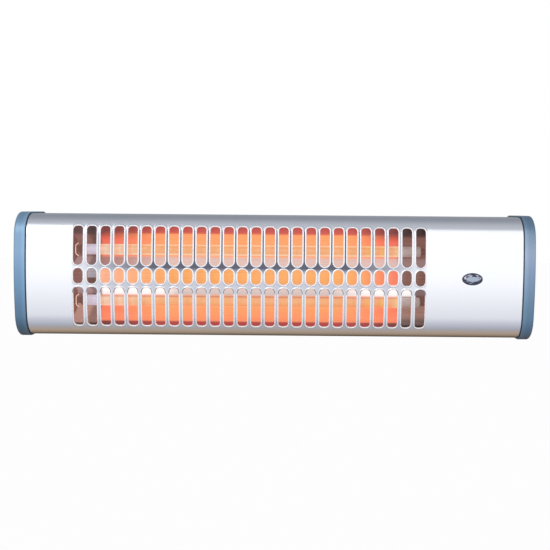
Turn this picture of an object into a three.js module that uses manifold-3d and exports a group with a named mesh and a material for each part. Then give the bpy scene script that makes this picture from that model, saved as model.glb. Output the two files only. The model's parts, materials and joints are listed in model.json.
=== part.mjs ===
// Electric bar heater: a wall-hung casing with two quartz bars behind a slotted steel front.
// Millimetres, +Z up. The wall is the plane y = 0, the front faces -Y, and +X is to the right
// for someone who stands in front of it. The casing is built around its tilt axis.

import * as THREE from 'three';
import { mergeVertices } from 'three/addons/utils/BufferGeometryUtils.js';
import Module from 'manifold-3d';

const wasm = await Module();
wasm.setup();

// ---------------------------------------------------------------- driving dimensions

// Casing
const LENGTH = 505; // over both end caps
const HEIGHT = 123; // over the end caps
const BODY_DEPTH = 78; // from the bow of the front to the back of the caps
const FRONT_RADIUS = 330; // bow of the front, seen from the end
const CORNER_RADIUS = 24; // front corners, top and bottom
const BACK_RADIUS = 5; // back corners
const FIT = 0.3; // gap between pieces that slide or seat in each other
const COVER_SHEET = 0.8;
const COVER_RETURN = 14; // flange that the cover turns in along the back
const COVER_SCREW_FROM_END = 20; // from the cover's end to its rear screws
const PAN_SHEET = 1;
const PAN_END_FLANGE = 26; // how far the pan's ends reach forward
const PAN_END_FROM_EDGE = 16.5; // from the casing's top or bottom to the pan's ends
const VENT_LENGTH = 30;
const VENT_HEIGHT = 4;
const VENT_PITCH = 44;
const VENT_FROM_EDGE = 31.5; // from the casing's top or bottom to a row of vents

// End caps
const CAP_BAND = 11; // what an end cap covers of the front
const CAP_END_WALL = 3;
const CAP_RIM_WALL = 1.3;
const CAP_EDGE_RADIUS = 2.2;
const CAP_SPIGOT_WALL = 1.8;
const CAP_SPIGOT_LENGTH = 7;
const CAP_SCREW_SPREAD = 56; // between the two screws of a cap
const CAP_RECESS = 1.2; // depth of the screw recess in an end cap

// Grille: three rows of slots, long, short and long
const SLOT_PITCH = 13.27;
const SLOT_WIDTH = 9.2;
const SLOT_MARGIN = 3; // least distance from a slot to the chamber's end plate
const SHORT_SLOT = 15.2; // height of the middle row
const ROW_GAP = 3;
const GRILLE_EDGE = 13.1; // from the top of the casing to the long slots
const SLOT_OUTER_CORNER = 3;

// Heating chamber
const LEFT_BAY = 51; // from the casing's left end to the left element plate
const RIGHT_BAY = 100; // from the right element plate to the casing's right end
const PLATE_SHEET = 1;
const PLATE_FOOT = 10;
const PLATE_FOOT_FROM_EDGE = 20; // from the pan's top or bottom to a plate's foot
const TUBE_DEPTH = 33; // from the bow of the front to the tubes' centres
const TUBE_SPACING = 51;
const TUBE_DROP = 1; // the pair of tubes hangs this much below the casing's middle
const TUBE_RADIUS = 5.3;
const TUBE_WALL = 1.1;
const TUBE_END_GAP = 26; // from a tube's end to its element plate
const COIL_RADIUS = 2.6;
const COIL_TAPER = 3;
const TAIL_RADIUS = 0.6;
const LINK_SHEET = 0.8;
const CRIMP_RADIUS = 2.3;
const CRIMP_OVERLAP = 4; // length of tail, and of wire, in a crimp
const CRIMP_MIDDLE = 2; // length between the tail and the wire in a crimp
const CERAMIC_NECK_RADIUS = 3.2;
const CERAMIC_NECK = 7; // length of the neck between the ceramic body and its element plate
const CERAMIC_FLANGE_RADIUS = 5;
const CERAMIC_FLANGE = 3;
const CERAMIC_SPIGOT = 6;
const REFLECTOR_SHEET = 0.6;
const REFLECTOR_LIP_DEPTH = 22; // from the bow of the front to the reflector's front land
const TROUGH_HALF_WIDTH = 18;
const TROUGH_FLOOR_HALF_WIDTH = 8.5;
const TROUGH_CLEARANCE = 8; // behind a tube
const REFLECTOR_EDGE = 8.5; // from the top of the casing to the reflector's edge
const REFLECTOR_TURN = 9; // hem turned back along both edges
const RETURN_WIRE_BEHIND = 12; // from the reflector's back to the neutral return wire

// Tilting wall bracket
const TILT_AXIS_TO_WALL = 24;
const TILT_AXIS_TO_BACK = 13;
const BRACKET_SHEET = 2;
const BRACKET_SPAN = 226.8; // between the ears
const BRACKET_HEIGHT = 44;
const BRACKET_HEM = 8; // flanges along the top and bottom of the bracket
const HEM_FROM_EAR = 12;
const EAR_RADIUS = 7;
const KEYHOLE_SPACING = 140;
const KEYHOLE_HEAD_RADIUS = 4.5;
const KEYHOLE_SLOT_RADIUS = 2.4;
const KEYHOLE_DROP = 8;
const LUG_FOOT_WIDTH = 22;
const LUG_FOOT_HEIGHT = 24;
const LUG_SHEET = 2;
const STUD_RADIUS = 2.9;
const WASHER_THICKNESS = 0.8;
const WASHER_RADIUS = 6.5;
const NUT_THICKNESS = 5;
const NUT_ACROSS_CORNERS = 11.5;
const KNOB_REACH = 11; // from the tilt axis to a wing tip
const KNOB_LENGTH = 11;
const KNOB_WING_WIDTH = 7;
const KNOB_HUB_RADIUS = 6;
const KNOB_SKIRT = 4;
const KNOB_SKIRT_RIM = 1;
const STUD_IN_KNOB = 7;
const STUD_PAST_NUT = 2;

// Controls in the right bay
const LAMP_FROM_END = 61; // from the casing's right end to the indicator's centre
const LENS_LENGTH = 15.6;
const LENS_HEIGHT = 7.6;
const BEZEL_BORDER = 2.2;
const BEZEL_PROUD = 1.3;
const BEZEL_WALL = 1;
const BEZEL_NECK = 3; // how far the bezel reaches behind the cover
const LENS_PROUD = 0.5; // how far the lens bulges past its bezel
const LAMP_LENGTH = 16;
const LAMP_PIN_SPREAD = 6; // between the lamp's two leads
const SWITCH_FROM_END = 52; // from the casing's right end to the switch body's centre
const SWITCH_LENGTH = 34;
const SWITCH_WIDTH = 20;
const SWITCH_HEIGHT = 22;
const SWITCH_FROM_BOTTOM = 27.5; // from the casing's bottom to the switch body's underside
const SWITCH_DEPTH = 50; // from the bow of the front to the switch's centre
const LEVER_REACH = 22; // from the pivot pin to the eye that takes the pull cord
const LEVER_HUB_RADIUS = 3.6;
const LEVER_HUB_WIDTH = 5.4;
const SPRING_WIDTH = 3.4;
const SPRING_WIRE_RADIUS = 0.3;
const PIN_RADIUS = 1.5;
const CHEEK_THICKNESS = 2.4;
const CHEEK_DROP = 9; // from the switch body's underside to the cheeks' ends
const LEVER_THICKNESS = 3;
const ENTRY_SPREAD = 4.5; // from the switch's middle plane to its wire entries
const ENTRY_PITCH = 5.5; // between the heights of the switch's wire entries
const SHELF_SHEET = 1.2;
const SHELF_FOOT = 12;
const BUSH_BORE_RADIUS = 1.8;
const BUSH_NECK_RADIUS = 3.8;
const BUSH_NECK = 2.3;
const BUSH_BRIM = 2;
const BUSH_LIP = 1.3;
const BLOCK_FROM_END = 50; // from the casing's right end to the terminal block's centre
const BLOCK_LENGTH = 36;
const BLOCK_DEPTH = 14;
const BLOCK_HEIGHT = 17;
const BLOCK_FROM_TOP = 41.5; // from the casing's top to the terminal block's underside
const TERMINAL_PITCH = 11;
const WELL_DEPTH = 3;
const EARTH_FROM_PLATE = 24; // from the right element plate to the earth screw
const EARTH_OVER_FOOT = 6; // from the terminal block's underside up to the earth screw
const GROMMET_FROM_END = 24;
const GROMMET_FROM_BOTTOM = 31.5; // from the casing's bottom to the inlet's centre
const GROMMET_NECK_RADIUS = 5.2;
const GROMMET_BORE_RADIUS = 3.6;
const GROMMET_BRIM = 2;
const GROMMET_INNER_LIP = 1.5;
const GROMMET_OUTER_LIP = 2.2;
const WIRE_RADIUS = 1.3;
const LAMP_WIRE_RADIUS = 0.8;
const WIRE_BEND = 9; // room that a wire takes to turn
const WIRE_STUB = 4; // straight stretch of a wire at a terminal

// Small fasteners
const SCREW_RADIUS = 1.75;
const SCREW_HEAD_RADIUS = 3.6;
const SCREW_HEAD = 2;
const SMALL_SCREW_RADIUS = 1.3;
const SMALL_SCREW_HEAD_RADIUS = 2.3;
const SMALL_SCREW_HEAD = 1.4;
const SMALL_SCREW_LENGTH = 6;
const TERMINAL_SCREW_LENGTH = 4;
const EARTH_SCREW_HEAD_RADIUS = 3.3;
const EARTH_SCREW_HEAD = 1.6;
const THREAD_PAST_SHEET = 3; // how far a screw's end passes the sheet that it holds

// ---------------------------------------------------------------- derived places

const HALF_LENGTH = LENGTH / 2;
const HALF_HEIGHT = HEIGHT / 2;
const BACK = -TILT_AXIS_TO_BACK; // y of the caps' back face, from the tilt axis
const FRONT = BACK - BODY_DEPTH; // y of the bow's foremost line
const COVER_INSET = CAP_RIM_WALL + FIT; // the cover lies this far inside the caps' outline
const COVER_INSIDE = COVER_INSET + COVER_SHEET;
const CAP_WALL_X = HALF_LENGTH - CAP_END_WALL; // inner face of a cap's end wall
const COVER_END = CAP_WALL_X - FIT;
const PAN_REAR = BACK - COVER_INSIDE;
const PAN_FACE = PAN_REAR - PAN_SHEET; // the face that the inner parts stand on
const PAN_HALF_HEIGHT = HALF_HEIGHT - BACK_RADIUS - COVER_SHEET - FIT;
const LEFT_PLATE = -HALF_LENGTH + LEFT_BAY;
const RIGHT_PLATE = HALF_LENGTH - RIGHT_BAY;
const CAP_INNER_X = HALF_LENGTH - CAP_BAND;
const CHAMBER = RIGHT_PLATE - LEFT_PLATE;
const CHAMBER_MIDDLE = (LEFT_PLATE + RIGHT_PLATE) / 2;
const COLUMNS = Math.floor((CHAMBER - SLOT_WIDTH - 2 * SLOT_MARGIN) / SLOT_PITCH) + 1;
const TUBE_Y = FRONT + TUBE_DEPTH;
const TUBES = { upper: TUBE_SPACING / 2 - TUBE_DROP, lower: -TUBE_SPACING / 2 - TUBE_DROP };
const TUBE_BORE_RADIUS = TUBE_RADIUS - TUBE_WALL;
const TUBE_HALF = CHAMBER / 2 - TUBE_END_GAP;
const REFLECTOR_BACK = TUBE_Y + TUBE_RADIUS + TROUGH_CLEARANCE;
const EAR_X = BRACKET_SPAN / 2; // inner face of an ear
const LUG_X = EAR_X - 2 * FIT - WASHER_THICKNESS; // outer face of a lug
const STUD_HOLE_RADIUS = STUD_RADIUS + FIT;
const LUG_REAR = PAN_REAR + LUG_SHEET;
const LAMP_X = HALF_LENGTH - LAMP_FROM_END;
const SWITCH_X = HALF_LENGTH - SWITCH_FROM_END;
const SWITCH_Y = FRONT + SWITCH_DEPTH;
const SWITCH_BOTTOM = -HALF_HEIGHT + SWITCH_FROM_BOTTOM;
const SWITCH_TOP = SWITCH_BOTTOM + SWITCH_HEIGHT;
const PIVOT_X = SWITCH_X - SWITCH_LENGTH / 2 + LEVER_HUB_RADIUS + FIT;
const PIVOT_Z = SWITCH_BOTTOM - LEVER_HUB_RADIUS - FIT;
const CHEEK_GAP = LEVER_HUB_WIDTH + SPRING_WIDTH + 3 * FIT;
const PIN_HALF = CHEEK_GAP / 2 + CHEEK_THICKNESS + 1;
const EYE_X = PIVOT_X + LEVER_REACH;
const LEVER_Y = SWITCH_Y - CHEEK_GAP / 2 + FIT + LEVER_HUB_WIDTH / 2;
const BLOCK_X = HALF_LENGTH - BLOCK_FROM_END;
const BLOCK_Y = PAN_FACE - BLOCK_DEPTH / 2;
const BLOCK_BOTTOM = HALF_HEIGHT - BLOCK_FROM_TOP;
const BLOCK_TOP = BLOCK_BOTTOM + BLOCK_HEIGHT;
const GROMMET_X = HALF_LENGTH - GROMMET_FROM_END;
const GROMMET_Z = -HALF_HEIGHT + GROMMET_FROM_BOTTOM;
const EARTH_X = RIGHT_PLATE + EARTH_FROM_PLATE;
const EARTH_Z = BLOCK_BOTTOM + EARTH_OVER_FOOT;
const RETURN_WIRE_Y = REFLECTOR_BACK + REFLECTOR_SHEET + RETURN_WIRE_BEHIND;

// ---------------------------------------------------------------- geometry helpers

const v2 = (x, y) => new THREE.Vector2(x, y);
const v3 = (x, y, z) => new THREE.Vector3(x, y, z);

/** Points on a circular arc, both ends included. */
function arc(cx, cy, radius, from, to, steps) {
  return Array.from({ length: steps + 1 }, (_, i) => {
    const angle = from + ((to - from) * i) / steps;
    return v2(cx + radius * Math.cos(angle), cy + radius * Math.sin(angle));
  });
}

/** An extrusion of a (y, z) outline from x0 to x1. */
function alongX(shape, x0, x1) {
  const axes = new THREE.Matrix4().makeBasis(v3(0, 1, 0), v3(0, 0, 1), v3(1, 0, 0));
  const geometry = new THREE.ExtrudeGeometry(shape, { depth: x1 - x0, bevelEnabled: false });
  return geometry.applyMatrix4(axes).translate(x0, 0, 0);
}

/** An extrusion of an (x, z) outline, or of several, from y0 to y1. */
function alongY(shape, y0, y1) {
  const axes = new THREE.Matrix4().makeBasis(v3(1, 0, 0), v3(0, 0, 1), v3(0, -1, 0));
  const geometry = new THREE.ExtrudeGeometry(shape, { depth: y1 - y0, bevelEnabled: false });
  return geometry.applyMatrix4(axes).translate(0, y1, 0);
}

/** An extrusion of an (x, y) outline from z0 to z1. */
function alongZ(shape, z0, z1) {
  const geometry = new THREE.ExtrudeGeometry(shape, { depth: z1 - z0, bevelEnabled: false });
  return geometry.translate(0, 0, z0);
}

/** A box from its two extreme corners. */
function block(x0, x1, y0, y1, z0, z1) {
  const geometry = new THREE.BoxGeometry(x1 - x0, y1 - y0, z1 - z0);
  return geometry.translate((x0 + x1) / 2, (y0 + y1) / 2, (z0 + z1) / 2);
}

/** A round bar on an axis through (x, y, z), from a to b along that axis. */
function rod(axis, radius, a, b, x, y, z, sides = 12) {
  const geometry = new THREE.CylinderGeometry(radius, radius, b - a, sides).translate(0, (a + b) / 2, 0);
  if (axis === 'x') geometry.rotateZ(-Math.PI / 2);
  if (axis === 'z') geometry.rotateX(Math.PI / 2);
  return geometry.translate(x, y, z);
}

/** A turned piece: its profile is pairs of radius and height along +Y. */
function turned(profile, sides = 14) {
  return new THREE.LatheGeometry(profile.map(([r, y]) => v2(r, y)), sides);
}

/** An outline of an ellipse. */
function oval(cx, cy, rx, ry, steps) {
  const around = arc(0, 0, 1, 0, 2 * Math.PI, steps).slice(0, steps);
  return new THREE.Shape(around.map((p) => v2(cx + rx * p.x, cy + ry * p.y)));
}

/** A solid for cutting and joining, from a closed geometry. */
function solidOf(geometry) {
  const bare = geometry.clone();
  bare.deleteAttribute('normal');
  bare.deleteAttribute('uv');
  const welded = mergeVertices(bare, 1e-4);
  const vertProperties = new Float32Array(welded.attributes.position.array);
  const triVerts = new Uint32Array(welded.index.array);
  return new wasm.Manifold(new wasm.Mesh({ numProp: 3, vertProperties, triVerts }));
}

/** The geometry of a solid. */
function geometryOf(solid) {
  const { vertProperties, triVerts } = solid.getMesh();
  const geometry = new THREE.BufferGeometry();
  geometry.setAttribute('position', new THREE.BufferAttribute(vertProperties, 3));
  geometry.setIndex(new THREE.BufferAttribute(triVerts, 1));
  geometry.computeVertexNormals();
  return geometry;
}

/** The first geometry with the tools joined to it. */
function join(geometry, ...tools) {
  return geometryOf(tools.reduce((solid, tool) => solid.add(solidOf(tool)), solidOf(geometry)));
}

/** The first geometry with the tools cut out of it. */
function cut(geometry, ...tools) {
  return geometryOf(tools.reduce((solid, tool) => solid.subtract(solidOf(tool)), solidOf(geometry)));
}

/** The section of a bent sheet: one face follows the path, the other lies to its left. */
function bentSheet(path, thickness) {
  const directions = path.slice(1).map((p, i) => p.clone().sub(path[i]).normalize());
  const other = path.map((p, i) => {
    const before = directions[Math.max(i - 1, 0)];
    const after = directions[Math.min(i, directions.length - 1)];
    const mid = before.clone().add(after).normalize();
    const mitre = thickness / mid.dot(after);
    return v2(p.x - mid.y * mitre, p.y + mid.x * mitre);
  });
  return new THREE.Shape([...path, ...other.reverse()]);
}

/** The D-shaped outline of the casing in (y, z), moved inwards, from the back over the top to the back. */
function casingOutline(inset) {
  const back = BACK - BACK_RADIUS;
  const top = HALF_HEIGHT - BACK_RADIUS;
  const cornerZ = HALF_HEIGHT - CORNER_RADIUS;
  const lean = Math.asin(cornerZ / (FRONT_RADIUS - CORNER_RADIUS));
  const bowY = FRONT + FRONT_RADIUS;
  const cornerY = bowY - (FRONT_RADIUS - CORNER_RADIUS) * Math.cos(lean);
  const half = [
    ...arc(back, top, BACK_RADIUS - inset, 0, Math.PI / 2, 2),
    ...arc(cornerY, cornerZ, CORNER_RADIUS - inset, Math.PI / 2, Math.PI - lean, 5),
  ];
  const bow = arc(bowY, 0, FRONT_RADIUS - inset, Math.PI - lean, Math.PI + lean, 5).slice(1, -1);
  const mirrored = half.map((p) => v2(p.x, -p.y)).reverse();
  return [...half, ...bow, ...mirrored];
}

/** A closed solid through casing outlines: pairs of x and inset, with x rising. */
function loft(rings) {
  const outlines = rings.map(([x, inset]) => casingOutline(inset).map((p) => v3(x, p.x, p.y)));
  const count = outlines[0].length;
  const index = [];
  for (let ring = 0; ring < rings.length - 1; ring += 1) {
    for (let i = 0; i < count; i += 1) {
      const a = ring * count + i;
      const b = ring * count + ((i + 1) % count);
      index.push(a, b, b + count, a, b + count, a + count);
    }
  }
  const last = (rings.length - 1) * count;
  for (const [a, b, c] of THREE.ShapeUtils.triangulateShape(casingOutline(0), [])) {
    index.push(a, c, b, last + a, last + b, last + c);
  }
  const geometry = new THREE.BufferGeometry().setFromPoints(outlines.flat());
  geometry.setIndex(index);
  geometry.computeVertexNormals();
  return geometry;
}

/** An insulated wire through hand-placed points. */
function wire(points, radius = WIRE_RADIUS, steps = 14) {
  const path = new THREE.CatmullRomCurve3(points, false, 'centripetal');
  const section = oval(0, 0, radius, radius, 6);
  return new THREE.ExtrudeGeometry(section, { steps, extrudePath: path });
}

/** A pan-head screw with a cross recess, its head towards +Y and its shank towards -Y. */
function screw(radius, headRadius, head, length) {
  const body = turned([[0, -length], [radius * 0.7, -length], [radius, -length + 1], [radius, 0],
    [headRadius, 0], [headRadius, head * 0.5], [headRadius * 0.75, head], [0, head]], 8);
  const arm = headRadius * 0.6;
  const slit = headRadius * 0.14;
  const floor = head * 0.45;
  return cut(body, block(-arm, arm, floor, head + 1, -slit, slit),
    block(-slit, slit, floor, head + 1, -arm, arm));
}

// ---------------------------------------------------------------- materials

function finish(color, roughness, metalness, extra = {}) {
  return new THREE.MeshStandardMaterial({ color, roughness, metalness, ...extra });
}

const brushedSteel = () => finish('#c9cbd1', 0.34, 1);
const paintedSteel = () => finish('#d9dade', 0.5, 0.1);
const zincSteel = () => finish('#b8babd', 0.42, 1);
const bluePlastic = () => finish('#6f93b7', 0.3, 0);
const darkPlastic = () => finish('#23272e', 0.5, 0);
const whitePlastic = () => finish('#e8e6de', 0.45, 0);
const mirrorAluminium = () => finish('#e8e2dc', 0.15, 1);
const quartz = () => finish('#f3e3d4', 0.25, 0);
const glowingWire = () => finish('#ff7a2e', 0.5, 0.3, { emissive: '#ff6a1e', emissiveIntensity: 1 });
const steatite = () => finish('#ece8ee', 0.6, 0);
const brass = () => finish('#c8a557', 0.35, 1);
const blackRubber = () => finish('#1c1c1e', 0.8, 0);
const lensPlastic = () => finish('#9aa9bd', 0.15, 0);
const insulation = (color) => finish(color, 0.55, 0);

// ---------------------------------------------------------------- scene graph

const heater = new THREE.Group();
const casing = new THREE.Group();
casing.position.set(0, -TILT_AXIS_TO_WALL, 0);
heater.add(casing);

function addTo(parent, name, geometry, material, x = 0, y = 0, z = 0) {
  const mesh = new THREE.Mesh(geometry, material);
  mesh.name = name;
  mesh.position.set(x, y, z);
  parent.add(mesh);
  return mesh;
}

const SIDES = [['left', -1], ['right', 1]];

// ---------------------------------------------------------------- front cover

/** One slot in (x, z): a half-round end next to the middle row, a squarer end at the casing's edge. */
function slotOutline(x, inner, outer) {
  const up = Math.sign(outer - inner);
  const half = SLOT_WIDTH / 2;
  const corner = Math.min(SLOT_OUTER_CORNER, half);
  const quarter = Math.PI / 2;
  const points = [
    ...arc(half - corner, 0, corner, 0, quarter, 2),
    ...arc(corner - half, 0, corner, quarter, 2 * quarter, 2),
  ].map((p) => v2(x + p.x, outer + up * (p.y - corner)));
  const round = arc(0, 0, half, 2 * quarter, 4 * quarter, 4);
  points.push(...round.map((p) => v2(x + p.x, inner + up * (p.y + half))));
  return new THREE.Shape(points);
}

/** One slot of the middle row, with two half-round ends. */
function shortSlotOutline(x) {
  const half = SLOT_WIDTH / 2;
  const straight = SHORT_SLOT / 2 - half;
  return new THREE.Shape([
    ...arc(x, straight, half, 0, Math.PI, 4),
    ...arc(x, -straight, half, Math.PI, 2 * Math.PI, 4),
  ]);
}

function grilleSlots() {
  const inner = SHORT_SLOT / 2 + ROW_GAP;
  const outer = HALF_HEIGHT - GRILLE_EDGE;
  const shapes = [];
  for (let column = 0; column < COLUMNS; column += 1) {
    const x = CHAMBER_MIDDLE + (column - (COLUMNS - 1) / 2) * SLOT_PITCH;
    shapes.push(slotOutline(x, inner, outer), shortSlotOutline(x), slotOutline(x, -inner, -outer));
  }
  return alongY(shapes, FRONT - 1, FRONT + CORNER_RADIUS);
}

const COVER_SCREWS_Z = HALF_HEIGHT - COVER_INSET - COVER_RETURN + SCREW_HEAD_RADIUS + 1;
const COVER_SCREWS_X = COVER_END - COVER_SCREW_FROM_END;
const COVER_BOTTOM = -HALF_HEIGHT + COVER_INSET;

function frontCover() {
  const rear = BACK - COVER_INSET;
  const lip = HALF_HEIGHT - COVER_INSET - COVER_RETURN;
  const path = [v2(rear, lip), ...casingOutline(COVER_INSET), v2(rear, -lip)];
  const shell = alongX(bentSheet(path, COVER_SHEET), -COVER_END, COVER_END);
  const holes = [
    alongY(oval(LAMP_X, 0, LENS_LENGTH / 2 + FIT * 2, LENS_HEIGHT / 2 + FIT * 2, 20), FRONT - 1, FRONT + 8),
    rod('z', BUSH_NECK_RADIUS + FIT, COVER_BOTTOM - 2, COVER_BOTTOM + 3, EYE_X, LEVER_Y, 0),
  ];
  for (const [, side] of SIDES) {
    for (const up of [1, -1]) {
      const [x, z] = [side * COVER_SCREWS_X, up * COVER_SCREWS_Z];
      holes.push(rod('y', SCREW_RADIUS + FIT, PAN_REAR - 1, BACK, x, 0, z));
    }
  }
  return cut(shell, grilleSlots(), ...holes);
}

addTo(casing, 'front_cover', frontCover(), brushedSteel());

// ---------------------------------------------------------------- back pan

const CAP_SCREW_Y = PAN_FACE - PAN_END_FLANGE / 2;
const CAP_SCREW_Z = CAP_SCREW_SPREAD / 2;

function vents() {
  const half = VENT_LENGTH / 2 - VENT_HEIGHT / 2;
  const row = HALF_HEIGHT - VENT_FROM_EDGE;
  const count = Math.floor((CHAMBER - VENT_LENGTH) / VENT_PITCH) + 1;
  const shapes = [];
  for (let i = 0; i < count; i += 1) {
    const x = CHAMBER_MIDDLE + (i - (count - 1) / 2) * VENT_PITCH;
    for (const z of [row, -row]) {
      shapes.push(new THREE.Shape([
        ...arc(x + half, z, VENT_HEIGHT / 2, -Math.PI / 2, Math.PI / 2, 3),
        ...arc(x - half, z, VENT_HEIGHT / 2, Math.PI / 2, Math.PI * 1.5, 3),
      ]));
    }
  }
  return alongY(shapes, PAN_FACE - 1, PAN_REAR + 1);
}

function backPan() {
  const x = COVER_END; // outer face of the pan's end flanges
  const flange = PAN_FACE - PAN_END_FLANGE;
  const bend = [v2(x, flange), v2(x, PAN_REAR), v2(-x, PAN_REAR), v2(-x, flange)];
  const endHalf = HALF_HEIGHT - PAN_END_FROM_EDGE;
  const ends = alongZ(bentSheet(bend, PAN_SHEET), -endHalf, endHalf);
  const panel = block(-x, x, PAN_FACE, PAN_REAR, -PAN_HALF_HEIGHT, PAN_HALF_HEIGHT);
  const through = (radius, cx, cz) => rod('y', radius, PAN_FACE - 1, PAN_REAR + 1, cx, 0, cz);
  const holes = [
    through(GROMMET_NECK_RADIUS + FIT, GROMMET_X, GROMMET_Z),
    through(SMALL_SCREW_RADIUS + FIT, EARTH_X, EARTH_Z),
  ];
  for (const [, side] of SIDES) {
    for (const up of [1, -1]) {
      holes.push(through(SCREW_RADIUS + FIT, side * COVER_SCREWS_X, up * COVER_SCREWS_Z));
      holes.push(rod('x', SCREW_RADIUS + FIT, side * x - 2, side * x + 2, 0, CAP_SCREW_Y, up * CAP_SCREW_Z));
    }
  }
  return cut(join(panel, ends), vents(), ...holes);
}

addTo(casing, 'back_pan', backPan(), paintedSteel());

for (const [side, sign] of SIDES) {
  for (const [row, up] of [['upper', 1], ['lower', -1]]) {
    const length = COVER_SHEET + PAN_SHEET + THREAD_PAST_SHEET;
    addTo(casing, `cover_screw_${side}_${row}`, screw(SCREW_RADIUS, SCREW_HEAD_RADIUS, SCREW_HEAD, length),
      zincSteel(), sign * COVER_SCREWS_X, BACK - COVER_INSET, up * COVER_SCREWS_Z);
  }
}

// ---------------------------------------------------------------- end caps

/** The right end cap; the left one is the same with its x turned over. */
function endCap(sign) {
  const rings = (pairs) => {
    const placed = pairs.map(([x, inset]) => [sign * x, inset]);
    return loft(sign > 0 ? placed : placed.reverse());
  };
  const edge = CAP_EDGE_RADIUS;
  const shell = rings([[CAP_INNER_X, 0], [HALF_LENGTH - edge, 0], [HALF_LENGTH - edge * 0.3, edge * 0.3],
    [HALF_LENGTH, edge]]);
  const hollow = rings([[CAP_INNER_X - 1, CAP_RIM_WALL], [CAP_WALL_X, CAP_RIM_WALL]]);
  const spigotOutside = COVER_INSIDE + FIT;
  const spigotStart = CAP_WALL_X - CAP_SPIGOT_LENGTH;
  const spigot = rings([[spigotStart, spigotOutside], [CAP_WALL_X + 1, spigotOutside]]);
  const spigotBore = rings([[spigotStart - 1, spigotOutside + CAP_SPIGOT_WALL],
    [CAP_WALL_X, spigotOutside + CAP_SPIGOT_WALL]]);
  const x0 = Math.min(sign * (spigotStart - 1), sign * CAP_WALL_X);
  const x1 = Math.max(sign * (spigotStart - 1), sign * CAP_WALL_X);
  const rearRoom = block(x0, x1, PAN_FACE - 2, BACK, -HALF_HEIGHT, HALF_HEIGHT);
  const holes = [];
  for (const up of [1, -1]) {
    const z = up * CAP_SCREW_Z;
    holes.push(rod('x', SCREW_RADIUS + FIT, sign * HALF_LENGTH - 5, sign * HALF_LENGTH + 5, 0, CAP_SCREW_Y, z));
    holes.push(rod('x', SCREW_HEAD_RADIUS + FIT, -CAP_RECESS, CAP_RECESS, sign * HALF_LENGTH, CAP_SCREW_Y, z));
  }
  const ring = cut(spigot, spigotBore, rearRoom);
  return cut(join(cut(shell, hollow), ring), ...holes);
}

for (const [side, sign] of SIDES) {
  addTo(casing, `end_cap_${side}`, endCap(sign), bluePlastic());
  for (const [row, up] of [['upper', 1], ['lower', -1]]) {
    const length = CAP_END_WALL + PAN_SHEET + THREAD_PAST_SHEET;
    addTo(casing, `cap_screw_${side}_${row}`, screw(SCREW_RADIUS, SCREW_HEAD_RADIUS, CAP_RECESS, length),
      zincSteel(), sign * (HALF_LENGTH - CAP_RECESS), CAP_SCREW_Y, up * CAP_SCREW_Z).rotation.z =
      (-sign * Math.PI) / 2;
  }
}

// ---------------------------------------------------------------- heating chamber

/** A bulkhead that closes the chamber and carries the ceramic ends, with a foot on the back pan. */
function elementPlate(sign) {
  const inner = sign > 0 ? RIGHT_PLATE : LEFT_PLATE;
  const outer = inner + sign * PLATE_SHEET;
  const [x0, x1] = [Math.min(inner, outer), Math.max(inner, outer)];
  const clear = COVER_INSIDE + FIT;
  const outline = casingOutline(clear).filter((p) => p.x < PAN_FACE - 1);
  outline.unshift(v2(PAN_FACE, PAN_HALF_HEIGHT - 2));
  outline.push(v2(PAN_FACE, -PAN_HALF_HEIGHT + 2));
  const foot = outer + sign * PLATE_FOOT;
  const footTop = HALF_HEIGHT - PLATE_FOOT_FROM_EDGE;
  const parts = [
    alongX(new THREE.Shape(outline), x0, x1),
    block(Math.min(inner, foot), Math.max(inner, foot), PAN_FACE - PLATE_SHEET, PAN_FACE, -footTop, footTop),
  ];
  const notches = Object.values(TUBES).map((z) => {
    const half = CERAMIC_NECK_RADIUS + FIT;
    const around = arc(TUBE_Y, z, half, -Math.PI / 2, Math.PI / 2, 6);
    const shape = new THREE.Shape([v2(FRONT, z - half), ...around, v2(FRONT, z + half)]);
    return alongX(shape, x0 - 1, x1 + 1);
  });
  const guide = rod('x', WIRE_RADIUS + FIT, x0 - 1, x1 + 1, 0, RETURN_WIRE_Y, -TUBE_DROP);
  return cut(join(...parts), ...notches, guide);
}

for (const [side, sign] of SIDES) {
  addTo(casing, `element_plate_${side}`, elementPlate(sign), zincSteel());
}

/** Two troughs with a land between them, a land along each edge and a hem turned back. */
function reflector() {
  const land = FRONT + REFLECTOR_LIP_DEPTH;
  const edge = HALF_HEIGHT - REFLECTOR_EDGE;
  const trough = (z) => [v2(land, z + TROUGH_HALF_WIDTH), v2(REFLECTOR_BACK, z + TROUGH_FLOOR_HALF_WIDTH),
    v2(REFLECTOR_BACK, z - TROUGH_FLOOR_HALF_WIDTH), v2(land, z - TROUGH_HALF_WIDTH)];
  const path = [v2(land + REFLECTOR_TURN, edge), v2(land, edge), ...trough(TUBES.upper),
    ...trough(TUBES.lower), v2(land, -edge), v2(land + REFLECTOR_TURN, -edge)];
  return alongX(bentSheet(path, REFLECTOR_SHEET), LEFT_PLATE + FIT, RIGHT_PLATE - FIT);
}

addTo(casing, 'reflector', reflector(), mirrorAluminium());

/** A ceramic end along +Y, with y = 0 at the tube's end: spigot, body, neck and outer flange. */
function ceramicEnd() {
  const bore = TAIL_RADIUS + FIT;
  const shoulder = TUBE_END_GAP - CERAMIC_NECK;
  const flange = TUBE_END_GAP + PLATE_SHEET + FIT;
  const spigot = TUBE_BORE_RADIUS - FIT;
  const end = flange + CERAMIC_FLANGE;
  return turned([[bore, -CERAMIC_SPIGOT], [spigot, -CERAMIC_SPIGOT], [spigot, FIT], [TUBE_RADIUS, FIT],
    [TUBE_RADIUS, shoulder - 2], [TUBE_RADIUS - 1.5, shoulder], [CERAMIC_NECK_RADIUS, shoulder],
    [CERAMIC_NECK_RADIUS, flange], [CERAMIC_FLANGE_RADIUS, flange], [CERAMIC_FLANGE_RADIUS, end],
    [bore, end], [bore, -CERAMIC_SPIGOT]], 12);
}

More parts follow.
